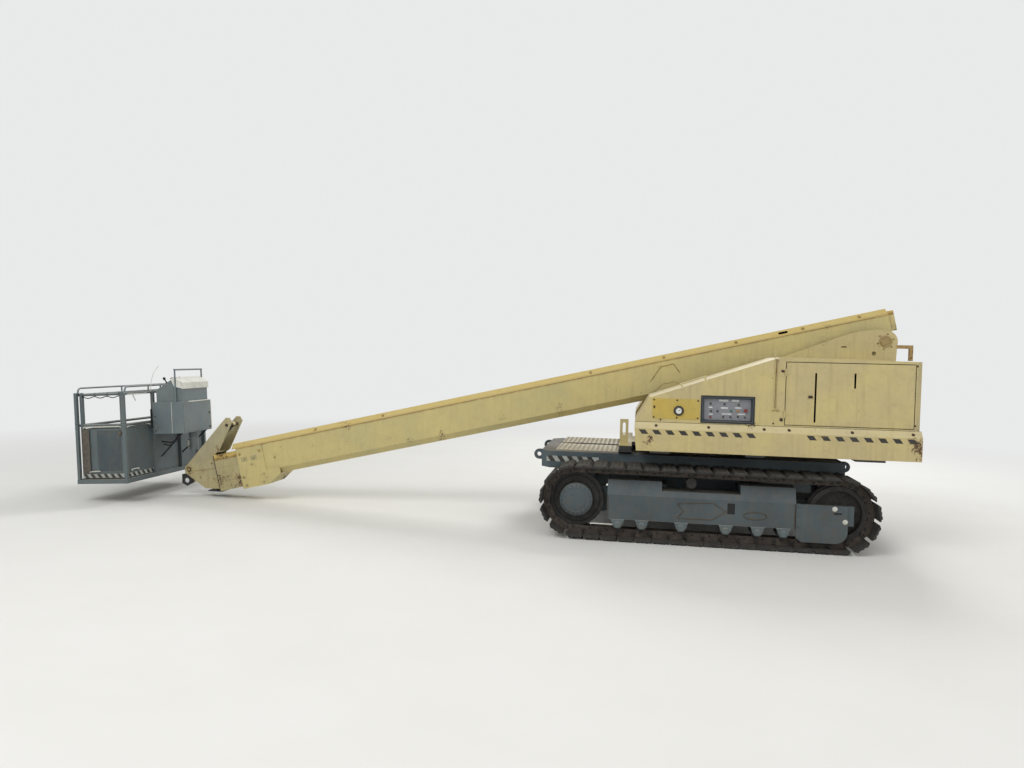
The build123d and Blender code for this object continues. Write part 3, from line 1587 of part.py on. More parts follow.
# Gate at the left end: two stiles, two rails and a panel, on pins inside the corner post
gate_far = post_in - 50.0
gate_y = gate_hinge[1]
with BuildPart() as basket_gate:
    with BuildSketch(basket_level(gate_low)):
        with Locations(gate_hinge, (gate_far, gate_y)):
            Rectangle(2 * tube_r, 2 * tube_r)
    extrude(amount=gate_top - gate_low)
    with BuildSketch(basket_face(gate_hinge[0])):
        with Locations((gate_y, basket_rail), (gate_y, basket_mid_rail)):
            Circle(rail_r)
        with Locations((gate_y, (basket_panel_top + 20) / 2)):
            Rectangle(basket_sheet, basket_panel_top - 20)
    extrude(amount=gate_far - gate_hinge[0])
    for level, way in ((gate_low, 1), (gate_top, -1)):
        with BuildSketch(basket_level(level)):
            with Locations(gate_hinge):
                Circle(gate_pin_r + pin_fit)
        extrude(amount=way * 28, mode=Mode.SUBTRACT)
basket_gate.part.label = "basket_gate"
export_step(basket_gate.part, "parts/basket_gate.step")

# Cabinet on the boom side of the basket, open to the basket, round the sleeve
cabinet_back = post_in + tube_r + seat
guard_out = -40.0
guard_half = 320.0
guard_top = 1380.0
guard_r = 11.0
with BuildPart() as cabinet:
    with BuildSketch(basket_face(cabinet_back)):
        with Locations((0, (cabinet_bottom + cabinet_top) / 2)):
            Rectangle(2 * cabinet_half, cabinet_top - cabinet_bottom)
    extrude(amount=cabinet_front - cabinet_back)
    basket_side = cabinet.faces().sort_by(Axis.X)[0]
    offset(amount=-cabinet_sheet, openings=basket_side, kind=Kind.INTERSECTION)
    with BuildSketch(basket_level(cabinet_bottom - cabinet_sheet)):
        Circle(spigot_r + sleeve_wall + swing_gap)
    extrude(amount=3 * cabinet_sheet, mode=Mode.SUBTRACT)
    with BuildSketch(basket_level(cabinet_top - 1)):
        with Locations((guard_out, guard_half), (guard_out, -guard_half)):
            Circle(guard_r)
    extrude(amount=guard_top - cabinet_top)
    with BuildSketch(basket_end(guard_half + guard_r)):
        with Locations((guard_out, guard_top)):
            Circle(guard_r + 1)
    extrude(amount=2 * (guard_half + guard_r))
cabinet.part.label = "cabinet"
export_step(cabinet.part, "parts/cabinet.step")

# Console on the cabinet, its desk sloping down towards the basket under a hood
console_half = 300.0
console_sheet = 3.0
console_front = 50.0
with BuildPart() as console:
    with BuildSketch(basket_end(console_half)):
        with BuildLine():
            Polyline(
                (basket_inner + 40, cabinet_top + seat),
                (console_front, cabinet_top + seat),
                (console_front, cabinet_top + 255),
                (console_front - 120, cabinet_top + 325),
                (basket_inner + 40, cabinet_top + 165),
                close=True,
            )
        make_face()
    extrude(amount=2 * console_half)
    console_under = console.faces().sort_by(Axis.Z)[0]
    offset(amount=-console_sheet, openings=console_under, kind=Kind.INTERSECTION)
console.part.label = "console"
export_step(console.part, "parts/console.step")
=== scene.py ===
"""Looks of a tracked telescopic boom lift, built around its CAD frame.

Lengths are metres in the machine's own frame: the origin is on the ground under the slewing
axis, -X is towards the basket, -Y is the left side with the ground controls, and +Z is up.
"""

from math import cos, pi, radians, sin

import bmesh
import bpy
import numpy as np
from bpy.props import FloatProperty, IntProperty, PointerProperty, StringProperty
from bpy.types import Operator, Panel, PropertyGroup
from mathutils import Matrix, Vector


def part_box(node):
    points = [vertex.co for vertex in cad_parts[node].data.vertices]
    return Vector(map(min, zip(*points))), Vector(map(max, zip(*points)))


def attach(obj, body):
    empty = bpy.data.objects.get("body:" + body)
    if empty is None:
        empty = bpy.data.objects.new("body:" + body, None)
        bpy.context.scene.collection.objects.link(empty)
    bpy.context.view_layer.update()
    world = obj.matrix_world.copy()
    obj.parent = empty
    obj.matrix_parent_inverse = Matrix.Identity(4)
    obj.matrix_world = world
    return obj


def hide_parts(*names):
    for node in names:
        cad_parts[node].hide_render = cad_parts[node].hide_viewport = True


bl_info = {
    "name": "Tracked Boom Lift Looks",
    "version": (1, 0, 0),
    "blender": (4, 5, 0),
    "location": "View3D > Sidebar > Boom Lift",
    "description": "Finishes, track chains, fittings and stage for a tracked telescopic boom lift",
    "category": "Object",
}

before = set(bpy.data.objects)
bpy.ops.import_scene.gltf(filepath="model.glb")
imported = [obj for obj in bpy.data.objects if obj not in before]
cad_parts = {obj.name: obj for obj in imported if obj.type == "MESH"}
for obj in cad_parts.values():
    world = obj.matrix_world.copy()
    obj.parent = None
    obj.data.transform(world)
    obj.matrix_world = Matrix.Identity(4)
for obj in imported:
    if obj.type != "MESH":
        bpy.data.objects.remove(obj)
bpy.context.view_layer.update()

SIDES = (("left", -1), ("right", 1))
LENGTHWAYS, ACROSS, UPRIGHT = np.eye(3)

# The boom lies 13.25 degrees below level, measured from its pivot
PIVOT = np.array([2.069, 0.0, 2.309])
DROOP = radians(13.25)
ALONG = np.array([-cos(DROOP), 0.0, -sin(DROOP)])
OVER = np.array([-sin(DROOP), 0.0, cos(DROOP)])

# The basket leans 3.5 degrees about the foot pin: out towards the boom, and up
FOOT_PIN = np.array([-6.833, 0.0, 0.372])
LEAN = radians(3.5)
OUT = np.array([cos(LEAN), 0.0, sin(LEAN)])
UP = np.array([-sin(LEAN), 0.0, cos(LEAN)])

# Faces that carry fittings: distances from the machine's middle line, and the housings' rear
DECK_Y, HOUSING_Y, SKIRT_Y, HEAD_Y = 0.75, 1.2, 1.25, 0.150
REAR_X = 2.2


def on_boom(along, over, y):
    """Places given along the boom, over its pivot line and across, as rows of X, Y, Z."""
    along, over, y = np.broadcast_arrays(along, over, y)
    return PIVOT + along[..., None] * ALONG + over[..., None] * OVER + y[..., None] * ACROSS


def on_basket(out, y, up):
    """Places given in the basket's own frame, as rows of X, Y, Z."""
    out, y, up = np.broadcast_arrays(out, y, up)
    return FOOT_PIN + out[..., None] * OUT + y[..., None] * ACROSS + up[..., None] * UP


def at_y(y, points):
    """Places given in X and Z, as rows of X, Y, Z."""
    return np.insert(np.asarray(points, float), 1, y, axis=1)


# Outlines


def box_outline(x0, x1, y0, y1):
    """Corners of a rectangle."""
    return [(x0, y0), (x1, y0), (x1, y1), (x0, y1)]


def oval(x, y, wide, count=8, high=None, start=0.0):
    """Points round a middle: x + wide * cos(angle), y + high * sin(angle). Without high it is a circle."""
    angle = start + np.arange(count) * 2 * pi / count
    return np.column_stack([x + wide * np.cos(angle), y + (high or wide) * np.sin(angle)])


def rotated(points, angle):
    """Points turned about the origin: x * cos - y * sin, x * sin + y * cos."""
    x, y = points[..., 0], points[..., 1]
    return np.stack([x * np.cos(angle) - y * np.sin(angle), x * np.sin(angle) + y * np.cos(angle)], -1)


def in_a_row(outline, starts):
    """Copies of an outline, each moved along its first axis."""
    return np.stack([np.array(outline) + (start, 0.0) for start in starts])


def lozenges(x, y, other, half):
    """Tread lozenges round places on a sheet: they lean 45 degrees, to the other side where other is set."""
    lozenge = np.array([(-half, 0.0), (0.0, -0.006), (half, 0.0), (0.0, 0.006)])
    lean = np.where(other, pi / 4, -pi / 4)[:, None]
    return rotated(lozenge, lean) + np.stack([x, y], -1)[:, None]


# Meshes

# Material slot of a finish, where a piece names no other; all the rest go to dark_panel
SLOTS = {
    finish: slot
    for slot, finishes in (
        ("cream_paint", "cream boom_middle boom_seam rusty stained"),
        ("grey_paint", "basket deck grey marking pale white worn"),
        ("track_steel", "track link"),
        ("engine_iron", "engine"),
    )
    for finish in finishes.split()
}


def put_mesh(name, parts, finish, body, slot=None):
    """Makes one closed piece from parts, each an array of vertices with its list of faces.

    Without a slot it goes to its finish's own, from SLOTS.
    """
    slot = slot or SLOTS.get(finish, "dark_panel")
    vertices, faces = joined(*parts)
    mesh = bpy.data.meshes.new(name)
    mesh.from_pydata(vertices.tolist(), [], faces)
    shape = bmesh.new()
    shape.from_mesh(mesh)
    bmesh.ops.remove_doubles(shape, verts=shape.verts, dist=1e-6)
    bmesh.ops.recalc_face_normals(shape, faces=shape.faces)
    shape.to_mesh(mesh)
    shape.free()
    mesh.polygons.foreach_set("use_smooth", np.ones(len(mesh.polygons), bool))
    mesh.set_sharp_from_angle(angle=radians(32))
    mesh.materials.append(finish_of(finish))
    piece = bpy.data.objects.new(name, mesh)
    bpy.context.scene.collection.objects.link(piece)
    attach(piece, body)
    return piece


def joined(*parts):
    """One vertex array and face list from several of them."""
    vertices, faces, start = [], [], 0
    for part_vertices, part_faces in parts:
        part_vertices = np.asarray(part_vertices, float).reshape(-1, 3)
        vertices.append(part_vertices)
        faces += [[v + start for v in face] for face in part_faces]
        start += len(part_vertices)
    return np.concatenate(vertices), faces


def grid_faces(rows, columns, loop=False):
    """Quads of a grid of points, closed round its columns.

    The end rows are capped, or with loop the last row joins the first.
    """
    index = np.arange(rows * columns).reshape(rows, columns)
    if loop:
        index = np.vstack([index, index[:1]])
    after = np.roll(index, -1, axis=1)
    quads = np.stack([index[:-1], after[:-1], after[1:], index[1:]], -1).reshape(-1, 4).tolist()
    return quads if loop else quads + [index[0, ::-1].tolist(), index[-1].tolist()]


def repeated(rows, columns, copies, loop=False):
    """Faces for copies of one grid, stacked in the order of their points."""
    one = grid_faces(rows, columns, loop)
    size = rows * columns
    return [[v + size * copy for v in face] for copy in range(copies) for face in one]


def turned(places, direction, profile, segments=16, loop=False):
    """Turned pieces at places: radius and height of a profile, carried round a direction.

    A point is place + height * direction + radius * (cos(angle) * first + sin(angle) * second).
    The profile's ends are capped, or with loop it is a closed line round a ring's section.
    """
    direction = np.asarray(direction, float) / np.linalg.norm(direction)
    first = np.cross(UPRIGHT if abs(direction[2]) < 0.9 else LENGTHWAYS, direction)
    first /= np.linalg.norm(first)
    radius, height = np.asarray(profile, float).T
    angle = np.arange(segments) * 2 * pi / segments
    ring = np.cos(angle)[:, None] * first + np.sin(angle)[:, None] * np.cross(direction, first)
    shape = height[:, None, None] * direction + radius[:, None, None] * ring
    places = np.asarray(places, float).reshape(-1, 3)
    vertices = places[:, None, None, :] + shape
    return vertices, repeated(len(radius), segments, len(places), loop)


def bolts(places, direction, head=0.012):
    """Hexagon bolts on washers. head is half the width across the hexagon's corners."""
    washer = turned(places, direction, [(1.45 * head, -0.001), (1.45 * head, 0.15 * head)], 12)
    hexagon = [(head, 0.0), (head, 0.72 * head), (0.82 * head, 0.85 * head)]
    return joined(washer, turned(places, direction, hexagon, 6))


def slabs(outlines, origin, across, upwards, low, high, edge=0.0):
    """Flat pieces with a bevelled rim: outlines of the same number of corners on one plane.

    A point is origin + x * across + y * upwards + height * (across x upwards). The last row of
    the section is drawn in towards each outline's middle by the bevel.
    """
    outlines = np.asarray(outlines, float)
    outlines = outlines[None] if outlines.ndim == 2 else outlines
    across, upwards = np.asarray(across, float), np.asarray(upwards, float)
    middle = outlines.mean(axis=1, keepdims=True)
    reach = np.linalg.norm(outlines - middle, axis=-1, keepdims=True)
    drawn_in = middle + (outlines - middle) * (1 - edge / reach)
    levels = [(outlines, low), (outlines, high)]
    if edge:
        levels = [(outlines, low), (outlines, high - edge), (drawn_in, high)]
    rows = [
        origin + flat[..., :1] * across + flat[..., 1:] * upwards + height * np.cross(across, upwards)
        for flat, height in levels
    ]
    return np.stack(rows, axis=1), repeated(len(rows), outlines.shape[1], len(outlines))


def side_slabs(way, outlines, y, low, high, edge=0.0):
    """Slabs that point outwards on one side of the machine, from outlines in X and Z."""
    return slabs(np.array(outlines) * (-way, 1), way * y * ACROSS, -way * LENGTHWAYS, UPRIGHT, low, high, edge)


def swept(path, radius, side, sides=8, loop=False):
    """A round bar along a path of points.

    A point is path + radius * (cos(angle) * side + sin(angle) * (side x heading)), the side
    vector first made square to the heading. radius is one number, or one for each point.
    """
    path = np.asarray(path, float)
    ahead = np.roll(path, -1, axis=0) - np.roll(path, 1, axis=0) if loop else np.gradient(path, axis=0)
    ahead /= np.linalg.norm(ahead, axis=1, keepdims=True)
    side = np.asarray(side, float) - (ahead @ np.asarray(side, float))[:, None] * ahead
    side /= np.linalg.norm(side, axis=1, keepdims=True)
    angle = np.arange(sides) * 2 * pi / sides
    square = np.cross(side, ahead)
    ring = np.cos(angle)[:, None] * side[:, None] + np.sin(angle)[:, None] * square[:, None]
    radius = np.broadcast_to(radius, len(path))[:, None, None]
    return path[:, None] + radius * ring, grid_faces(len(path), sides, loop)


def rounded(points, reach, steps=5):
    """A path through points, each inner corner cut by a quadratic curve that starts reach away."""
    points = np.asarray(points, float)
    before, corner, after = points[:-2], points[1:-1], points[2:]
    start, end = (
        (corner + reach * (other - corner) / np.linalg.norm(other - corner, axis=1, keepdims=True))[:, None]
        for other in (before, after)
    )
    share = np.linspace(0, 1, steps)[None, :, None]
    curve = (1 - share) ** 2 * start + 2 * share * (1 - share) * corner[:, None] + share**2 * end
    return np.vstack([points[:1], curve.reshape(-1, 3), points[-1:]])


def evenly(points, spacing, loop=False):
    """Points at an even spacing along straight runs between corners."""
    points = np.asarray(points, float)
    points = np.vstack([points, points[:1]]) if loop else points
    along = np.r_[0, np.cumsum(np.linalg.norm(np.diff(points, axis=0), axis=1))]
    count = max(int(along[-1] / spacing), 2)
    at = np.linspace(0, along[-1], count + 1)[: count if loop else None]
    return np.column_stack([np.interp(at, along, points[:, axis]) for axis in range(3)])


def weld_bead(points, side, size=0.005, loop=False):
    """A weld bead along straight runs: its radius swells and shrinks with each drop of metal."""
    path = evenly(points, 0.012, loop)
    drop = np.arange(len(path))
    ripple = size * (1 + 0.22 * np.sin(drop * 2.3) + 0.12 * np.sin(drop * 0.71))
    return swept(path, ripple, side, 6, loop)


# Materials


def linear(hex_colour):
    """Linear RGBA of an sRGB hex colour."""
    channels = np.array([int(hex_colour[i : i + 2], 16) for i in (0, 2, 4)]) / 255
    curve = np.where(channels <= 0.04045, channels / 12.92, ((channels + 0.055) / 1.055) ** 2.4)
    return (*curve.tolist(), 1.0)


def add(tree, kind, inputs=(), output=None, stops=(), **settings):
    """Adds a node and gives it, or the named output.

    inputs holds values, or the outputs that feed them, in the order of the node's sockets or by
    socket; None leaves a socket as it is. stops are a ramp's places and colours.
    """
    node = tree.nodes.new("ShaderNode" + kind)
    for key, value in settings.items():
        setattr(node, key, value)
    for key, value in inputs.items() if isinstance(inputs, dict) else enumerate(inputs):
        if isinstance(value, bpy.types.NodeSocket):
            tree.links.new(value, node.inputs[key])
        elif value is not None:
            node.inputs[key].default_value = value
    for element, (position, colour) in enumerate(stops):
        if element == len(node.color_ramp.elements):
            node.color_ramp.elements.new(position)
        node.color_ramp.elements[element].position = position
        node.color_ramp.elements[element].color = colour
    return node if output is None else node.outputs[output]


def new_material(name, **shader_values):
    """An empty material with its Principled shader wired to the output."""
    material = bpy.data.materials.new(name)
    material.use_nodes = True
    tree = material.node_tree
    tree.nodes.clear()
    shader = add(tree, "BsdfPrincipled", shader_values)
    add(tree, "OutputMaterial", {"Surface": shader.outputs["BSDF"]})
    return material, tree, shader


def per_metre(millimetres):
    """Texture scale that gives a pattern of this real size."""
    return 1000 / millimetres


def feed(tree, shader, colour, rough, normal=None):
    """Wires a colour, a roughness and a normal to the shader."""
    for socket, output in (("Base Color", colour), ("Roughness", rough), ("Normal", normal)):
        if output:
            tree.links.new(output, shader.inputs[socket])


def machine_enamel(
    name, fresh, faded, rust, dirt, settled, gloss=0.5, cover=(0.25, 0.85), edge=None, spots=(), dark=(), soil=0.0
):
    """Sprayed alkyd machine enamel on steel plate, years in the sun.

    It gives the eye a chalky colour that drifts over a hand's breadth to a metre, rain streaks,
    dust that settles on what faces up, paler there also as painted sunlight on the tops, and
    rusted chips gathered in patches. cover is the least and most of that dust. edge is the height
    over the pivot line above which a boom section is painted a stronger yellow, for the tint that
    light gives its chamfer. spots are places with a radius where rust gathers, dark ones are
    painted black as shade, and soil is the height up to which mud has splashed.
    """
    material, tree, shader = new_material(name, IOR=1.5)
    place = add(tree, "TexCoord")
    coords = place.outputs["Object"]
    facing = add(tree, "SeparateXYZ", (place.outputs["Normal"],), "Z")
    broad = add(tree, "TexNoise", (coords, None, per_metre(420), 5.0, 0.6), "Fac")
    share = add(tree, "MapRange", (broad, 0.36, 0.64), "Result")
    paint = add(tree, "Mix", {0: share, 6: linear(fresh), 7: linear(faded)}, 2, data_type="RGBA")
    film = add(tree, "TexNoise", (coords, None, per_metre(110), 6.0, 0.7), "Fac")
    # Rain streaks: fine across, long up and down
    stretched = add(tree, "Mapping", {"Vector": coords, "Scale": (1.0, 1.0, 0.07)}, "Vector")
    streak = add(tree, "TexNoise", (stretched, None, per_metre(42), 4.0, 0.6), "Fac")
    streaked = add(tree, "MapRange", (streak, 0.5, 0.78, 0.0, dirt), "Result")
    smeared = add(tree, "MapRange", (film, 0.48, 0.8, 0.0, dirt), "Result")
    mark = add(tree, "Math", (streaked, smeared), "Value", operation="MAXIMUM")
    # Painted light: above the chamfer's lower edge the boom turns a stronger yellow, for the tint that light gives the
    # chamfer
    if edge is not None:
        over = add(tree, "VectorMath", (coords, tuple(OVER)), "Value", operation="DOT_PRODUCT")
        line = float(PIVOT @ OVER) + edge
        share = add(tree, "MapRange", (over, line - 0.004, line + 0.002), "Result")
        paint = add(tree, "Mix", {0: share, 6: paint, 7: linear("C0A65A")}, 2, data_type="RGBA")
    colour = add(tree, "Mix", {0: mark, 6: paint, 7: linear("6B5B41")}, 2, data_type="RGBA")
    if edge is not None:
        # Dirt that the rain has left along the lower side of the chamfer
        below = add(tree, "Math", (over, line), "Value", operation="SUBTRACT")
        near = add(tree, "Math", (below,), "Value", operation="ABSOLUTE")
        reach = add(tree, "MapRange", (near, 0.006, 0.024, 0.9, 0.0), "Result")
        broken = add(tree, "MapRange", (film, 0.30, 0.58, 0.15, 1.0), "Result")
        share = add(tree, "Math", (reach, broken), "Value", operation="MULTIPLY")
        colour = add(tree, "Mix", {0: share, 6: colour, 7: linear("87672F")}, 2, data_type="RGBA")
    # Dust on what faces up, its pale colour also painted sunlight on the tops
    up = add(tree, "MapRange", (facing, 0.35, 0.9), "Result")
    patchy = add(tree, "MapRange", (film, 0.3, 0.62, *cover), "Result")
    dust = add(tree, "Math", (up, patchy), "Value", operation="MULTIPLY")
    colour = add(tree, "Mix", {0: dust, 6: colour, 7: linear(settled)}, 2, data_type="RGBA")
    if soil:
        height = add(tree, "SeparateXYZ", (coords,), "Z")
        low = add(tree, "MapRange", (height, soil, 0.1), "Result")
        patchy = add(tree, "MapRange", (film, 0.35, 0.65, 0.1, 0.6), "Result")
        splash = add(tree, "Math", (low, patchy), "Value", operation="MULTIPLY")
        colour = add(tree, "Mix", {0: splash, 6: colour, 7: linear("534D43")}, 2, data_type="RGBA")
    # Chips: fine noise over a threshold that patches of coarser noise, and the spots, lower
    speck = add(tree, "TexNoise", (coords, None, per_metre(17), 7.0, 0.72), "Fac")
    gather = add(tree, "TexNoise", (coords, None, per_metre(260), 3.0, 0.6), "Fac")
    for x, y, z, radius in spots:
        gap = add(tree, "VectorMath", (coords, (x, y, z)), "Value", operation="DISTANCE")
        extra = add(tree, "MapRange", (gap, 0.0, radius, 0.30, 0.0), "Result")
        gather = add(tree, "Math", (gather, extra), "Value", operation="ADD")
    threshold = 0.41 - 0.09 * rust
    deep = add(tree, "Math", (gather, speck), "Value", operation="MULTIPLY")
    chip = add(tree, "MapRange", (deep, threshold, threshold + 0.03), "Result")
    metal = add(
        tree, "ValToRGB", (speck,), "Color",
        stops=((0.3, linear("2B211B")), (0.55, linear("57402E")), (0.8, linear("86603F"))),
    )
    colour = add(tree, "Mix", {0: chip, 6: colour, 7: metal}, 2, data_type="RGBA")
    # Painted shade: near black inside each of these spheres
    for x, y, z, radius in dark:
        gap = add(tree, "VectorMath", (coords, (x, y, z)), "Value", operation="DISTANCE")
        share = add(tree, "MapRange", (gap, radius, radius - 0.01), "Result")
        colour = add(tree, "Mix", {0: share, 6: colour, 7: linear("2A2A2B")}, 2, data_type="RGBA")
    # Orange peel of a sprayed coat, drawn at 9 mm from dimple to dimple so that it can show
    peel = add(tree, "TexNoise", (coords, None, per_metre(9), 2.0, 0.6), "Fac")
    relief = add(tree, "Math", (chip, -0.6, peel), "Value", operation="MULTIPLY_ADD")
    bump = add(tree, "Bump", {"Height": relief, "Strength": 0.3, "Distance": 0.0012}, "Normal")
    rough = add(tree, "MapRange", (chip, 0.0, 1.0, gloss, 0.92), "Result")
    feed(tree, shader, colour, rough, bump)
    return material


def rusted_steel(name, dark, light, dust, grain, metallic=0.2, dusting=0.45):
    """Forged and rolled steel, rusted and packed with dust.

    It gives the eye a brown skin with lighter worn places and pale dust on what faces up.
    """
    material, tree, shader = new_material(name, Metallic=metallic)
    place = add(tree, "TexCoord")
    coords = place.outputs["Object"]
    facing = add(tree, "SeparateXYZ", (place.outputs["Normal"],), "Z")
    fine = add(tree, "TexNoise", (coords, None, per_metre(grain), 8.0, 0.7), "Fac")
    skin = add(
        tree, "ValToRGB", (fine,), "Color",
        stops=((0.34, linear(dark)), (0.56, linear(light)), (0.78, linear(dust))),
    )
    broad = add(tree, "TexNoise", (coords, None, per_metre(grain * 7), 5.0, 0.6), "Fac")
    patchy = add(tree, "MapRange", (broad, 0.45, 0.72, 0.0, dusting), "Result")
    up = add(tree, "MapRange", (facing, 0.3, 0.9), "Result")
    settled = add(tree, "Math", (up, 0.35, patchy), "Value", operation="MULTIPLY_ADD")
    colour = add(tree, "Mix", {0: settled, 6: skin, 7: linear(dust)}, 2, data_type="RGBA")
    bump = add(tree, "Bump", {"Height": fine, "Strength": 0.5, "Distance": 0.002}, "Normal")
    rough = add(tree, "MapRange", (fine, 0.0, 1.0, 0.6, 0.95), "Result")
    feed(tree, shader, colour, rough, bump)
    return material


def hard_chrome(name):
    """Ground and chromed piston rod: a bright skin with a film of oily dust."""
    material, tree, shader = new_material(name, Metallic=1.0)
    coords = add(tree, "TexCoord", (), "Object")
    film = add(tree, "TexNoise", (coords, None, per_metre(30), 5.0, 0.6), "Fac")
    share = add(tree, "MapRange", (film, 0.4, 0.75), "Result")
    colour = add(tree, "Mix", {0: share, 6: linear("C9CBCC"), 7: linear("9A958B")}, 2, data_type="RGBA")
    feed(tree, shader, colour, add(tree, "MapRange", (film, 0.0, 1.0, 0.12, 0.4), "Result"))
    return material


def moulded_plastic(name, colour, dusty, gloss=0.5, film_share=0.55):
    """Injection-moulded plastic, rubber or nylon: an even colour, fine grain, and dust in the open."""
    material, tree, shader = new_material(name, IOR=1.46)
    coords = add(tree, "TexCoord", (), "Object")
    film = add(tree, "TexNoise", (coords, None, per_metre(35), 6.0, 0.6), "Fac")
    share = add(tree, "MapRange", (film, 0.42, 0.75, 0.0, film_share), "Result")
    mixed = add(tree, "Mix", {0: share, 6: linear(colour), 7: linear(dusty)}, 2, data_type="RGBA")
    grain = add(tree, "TexNoise", (coords, None, per_metre(2.5), 2.0, 0.6), "Fac")
    bump = add(tree, "Bump", {"Height": grain, "Strength": 0.2, "Distance": 0.0004}, "Normal")
    rough = add(tree, "MapRange", (film, 0.0, 1.0, gloss - 0.1, gloss + 0.2), "Result")
    feed(tree, shader, mixed, rough, bump)
    return material


def finish_of(key):
    """The material of a finish, made the first time it is asked for."""
    name, make, values = FINISHES[key]
    paint = bpy.context.scene.boomlift_paint
    if hasattr(paint, key):
        values = {**values, "fresh": getattr(paint, key)}
    return bpy.data.materials.get(name) or make(name, **values)


# Where rust gathers: places and radii
POD_RUST = (
    (2.19, -1.2, 1.10, 0.24), (2.19, 1.2, 1.10, 0.24), (2.17, -1.24, 1.22, 0.18), (2.17, 1.24, 1.22, 0.16),
    (-0.60, -1.24, 1.17, 0.06), (0.48, -1.2, 1.35, 0.09), (-0.33, -1.2, 1.36, 0.07), (0.60, -1.23, 1.27, 0.08),
)
BASE_RUST = (
    (2.24, 0.0, 2.55, 0.30), (-5.66, -0.2, 0.30, 0.22), (-5.55, -0.2, 0.62, 0.10), (-5.88, -0.2, 0.50, 0.16),
    (-5.45, 0.0, 0.25, 0.26), (-5.66, 0.2, 0.30, 0.22), (-3.66, -0.21, 0.90, 0.13), (-5.01, -0.21, 0.78, 0.07),
    (-0.50, -0.2, 1.95, 0.06), (-5.0, -0.2, 0.98, 0.12),
)
MIDDLE_RUST = (
    (-6.33, -0.2, 0.62, 0.26), (-6.05, -0.2, 0.30, 0.24), (-6.40, -0.2, 0.20, 0.30), (-6.2, 0.2, 0.35, 0.3),
)
TIP_RUST = (
    (-6.83, -0.15, 0.37, 0.13), (-6.42, -0.15, 0.15, 0.30), (-6.42, -0.15, 0.62, 0.22), (-6.62, -0.15, 0.38, 0.08),
    (-6.5, 0.15, 0.3, 0.30), (-6.83, 0.15, 0.37, 0.13), (-6.16, 0.0, 1.22, 0.12),
)

# Places painted black as shade, each a middle and a radius. The first sphere is so wide that its top is nearly flat: it
# takes in the turntable's foot, painted shade under the skirt
FOOT_PAINTED_SHADE = ((0.7, 0.0, -999.0, 1000.0275),)
# Painted shade at the boom's head: a small sphere below the foot pin, and a wide one that takes in the bottom of the
# head
HEAD_PAINTED_SHADE = ((-6.955, 0.0, 0.190, 0.118), (-6.458, 0.0, -0.60, 0.735))


def enamel(name, fresh, faded, rust, dirt, settled, **others):
    """A row of FINISHES for a sprayed coat."""
    return name, machine_enamel, dict(fresh=fresh, faded=faded, rust=rust, dirt=dirt, settled=settled, **others)


